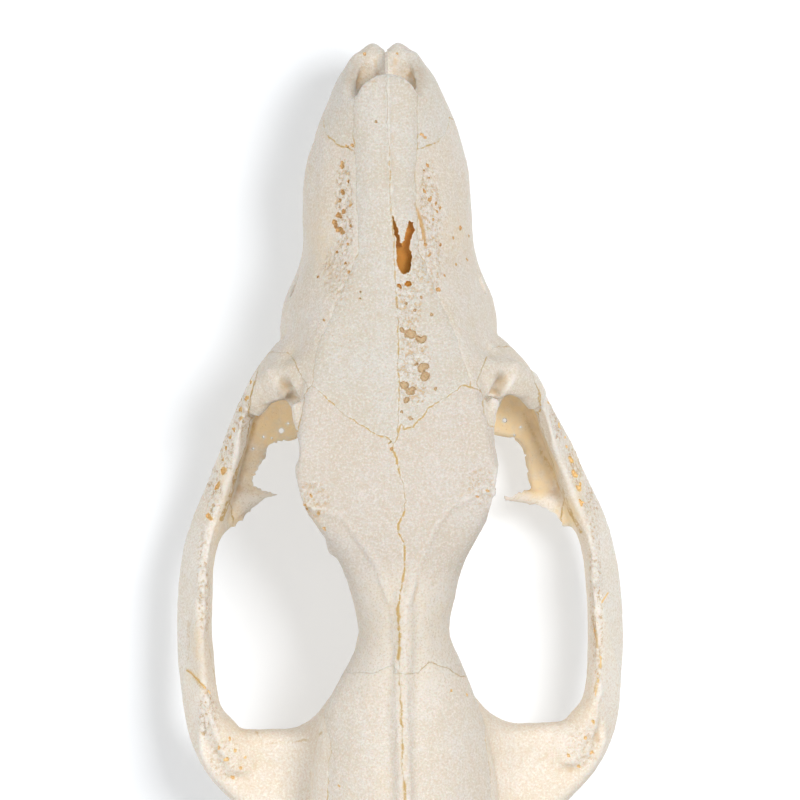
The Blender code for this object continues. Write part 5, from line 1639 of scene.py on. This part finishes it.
# Cusps as places across and along the crown, and how far each reaches below the gum
CUSPS = (
    (0.16, -0.22, 2.8), (0.16, 0.24, 3.2), (-0.32, 0.02, 2.8), (0.4, -0.34, 2.3), (0.42, 0.36, 2.3),
)
# A molar's outline at several levels, as the drop below the gum and its size there
MOLAR_LEVELS = ((-2.0, 0.82), (0.0, 0.92), (1.0, 1.0), (1.8, 0.94))


def crown(side, levels, count=24):
    """A tooth as a stack of oval rings. A level is (z, x, t, half width, half length)."""
    turns = np.linspace(0, 2 * math.pi, count, endpoint=False)
    rings = []
    for z, x, t, wide, long in levels:
        centre = side * x + drift(x, t)
        rings.append([(centre + wide * math.cos(a), t + long * math.sin(a), z) for a in turns])
    return loft(rings)


def incisor(side, x, t, tall):
    """A small peg, flattened from front to back at its edge."""
    gum = palate_z(t) + 0.4
    return crown(side, [
        (gum + 2.6, x, t + 0.3, 0.62, 0.75), (gum, x, t, 0.68, 0.85),
        (gum - 0.55 * tall, x + 0.05, t - 0.15, 0.8, 0.7),
        (gum - 0.9 * tall, x + 0.05, t - 0.25, 0.72, 0.42), (gum - tall, x + 0.05, t - 0.25, 0.5, 0.3),
    ])


def canine(side):
    """The long curved canine, whose tip the skull rests on."""
    return crown(side, [
        (15.0, 8.9, 18.9, 1.3, 2.0), (11.8, 9.0, 17.4, 1.5, 2.35), (9.5, 9.1, 16.9, 1.45, 2.15),
        (6.5, 9.3, 17.0, 1.3, 1.8), (3.5, 9.5, 17.6, 1.05, 1.35), (1.2, 9.65, 18.4, 0.8, 0.95),
        (0.35, 9.7, 18.7, 0.68, 0.78), (0.02, 9.72, 18.8, 0.4, 0.46),
    ])


def premolar(side, x, t, long, wide, tall):
    """A two-rooted blade with its point a little forward of its middle."""
    gum = palate_z(t) + 0.3
    return crown(side, [
        (gum + 2.2, x, t, 0.7 * wide, 0.75 * long), (gum, x, t, wide, 0.95 * long),
        (gum - 0.25 * tall, x, t, wide, long),
        (gum - 0.6 * tall, x, t - 0.1 * long, 0.62 * wide, 0.55 * long),
        (gum - tall, x, t - 0.16 * long, 0.28, 0.32),
    ])


def molar(side, x, t, long, wide):
    """A three-cornered crown: a long outer edge with two cusps and one cusp on the palate side."""
    gum = palate_z(t) + 0.3
    centre = side * x + drift(x, t)
    rings = []
    for drop, grow in MOLAR_LEVELS:
        corners = [
            (centre + side * grow * (wide * u + MOLAR_SKEW * long * v), t + grow * long * v)
            for u, v in MOLAR_OUTLINE
        ]
        rings.append([(px, pt, gum - drop) for px, pt in smooth_ring(corners, 32)])
    parts = [loft(rings)]
    for u, v, tall in CUSPS:
        cusp_x, cusp_t = x + wide * u + MOLAR_SKEW * long * v, t + long * v
        broad = 0.19 if abs(v) < 0.3 else 0.11
        parts.append(crown(side, [
            (gum - 1.2, cusp_x, cusp_t, broad * wide, broad * long), (gum - tall, cusp_x, cusp_t, 0.2, 0.2),
        ], 16))
    return parts


TOOTH_GRAIN = 0.14
IVORY = (0.80, 0.77, 0.69, 1)
YELLOWED = (0.66, 0.55, 0.37, 1)
enamel = Paint("enamel")
cloudy = enamel.noise(enamel.millimetres(), 1.1, 3.0)
ivory = enamel.blend(cloudy.between(0.35, 0.7), IVORY, YELLOWED)
enamel.feed(enamel.shader.inputs["Base Color"], ivory)
enamel.feed(enamel.shader.inputs["Roughness"], 0.2 + 0.25 * cloudy)
enamel.shader.inputs["Subsurface Weight"].default_value = 0.1
enamel.shader.inputs["Subsurface Scale"].default_value = 0.001
for side in SIDES:
    teeth = [incisor(side, *place) for place in INCISORS] + [canine(side)]
    teeth += [premolar(side, *place) for place in PREMOLARS]
    for place in MOLARS:
        teeth += molar(side, *place)
    row = fuse(teeth, TOOTH_GRAIN, softening=3)
    row.name = f"teeth_{SIDE_NAME[side]}"
    row.data.transform(to_metres)
    row.data.materials.clear()
    row.data.materials.append(enamel.material)
    row.data.shade_smooth()
    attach(row, "root")


# Studio: the skull lies on a white, back-lit table under a bright, even sky of soft boxes, with one lamp a
# little stronger from its right. The camera looks straight down from far above.

TABLE_SIZE = 6
TABLE_WHITE = (0.81, 0.835, 0.865, 1)
TABLE_GLOW = 0.15
SKY_STRENGTH = 0.34
# Each lamp's place, power and whether it throws shadows
LAMPS = (((-0.36, -0.12, 0.82), 4.6, True), ((0.48, 0.08, 0.70), 2.6, False))
LAMP_SIZE = 0.3
bpy.ops.mesh.primitive_plane_add(size=TABLE_SIZE)
table = bpy.context.object
table.name = "table"
glow = Paint("white_table")
glow.shader.inputs["Base Color"].default_value = TABLE_WHITE
glow.shader.inputs["Roughness"].default_value = 1.0
glow.shader.inputs["Emission Color"].default_value = (1, 1, 1, 1)
glow.shader.inputs["Emission Strength"].default_value = TABLE_GLOW
table.data.materials.append(glow.material)
world = bpy.data.worlds.new("studio")
world.use_nodes = True
sky = world.node_tree.nodes["Background"]
sky.inputs["Color"].default_value = (1, 1, 1, 1)
sky.inputs["Strength"].default_value = SKY_STRENGTH
bpy.context.scene.world = world
# The key lamp at the upper right throws the soft shadows, and a weaker one at the left throws none.
for place, energy, shadows in LAMPS:
    bpy.ops.object.light_add(type="AREA", location=place)
    lamp = bpy.context.object
    lamp.data.size = LAMP_SIZE
    lamp.data.energy = energy
    lamp.data.use_shadow = shadows
    lamp.rotation_euler = (-lamp.location).to_track_quat("-Z", "Y").to_euler()

# The camera's height, the level at which the scale holds, the picture's width and scale, and how far the
# skull's axis leans over its length in the picture
CAMERA_HEIGHT = 3.0
SCALE_LEVEL = 0.022
PICTURE_PIXELS = 800
PIXELS_PER_MM = 7.2
LEAN_PIXELS = 18
LENGTH_PIXELS = 755
SENSOR = 36
# What the camera looks at: metres beside the origin and millimetres behind the snout
VIEW_X = -0.00076
VIEW_T = 49.72
VIEW_WIDTH = PICTURE_PIXELS / PIXELS_PER_MM * 0.001
TURN = -math.atan(LEAN_PIXELS / LENGTH_PIXELS)
bpy.ops.object.camera_add()
camera = bpy.context.object
camera.data.sensor_width = SENSOR
camera.data.lens = SENSOR * (CAMERA_HEIGHT - SCALE_LEVEL) / VIEW_WIDTH
camera.data.clip_end = 20
right = Matrix.Rotation(TURN, 3, "Z") @ Vector((-1, 0, 0))
up = Matrix.Rotation(TURN, 3, "Z") @ Vector((0, -1, 0))
placed = Matrix((right, up, Vector((0, 0, 1)))).transposed().to_4x4()
placed.translation = Vector((VIEW_X, (VIEW_T - MIDDLE_T) * 0.001, CAMERA_HEIGHT))
camera.matrix_world = placed
bpy.context.scene.camera = camera
bpy.context.scene.view_settings.view_transform = "Standard"
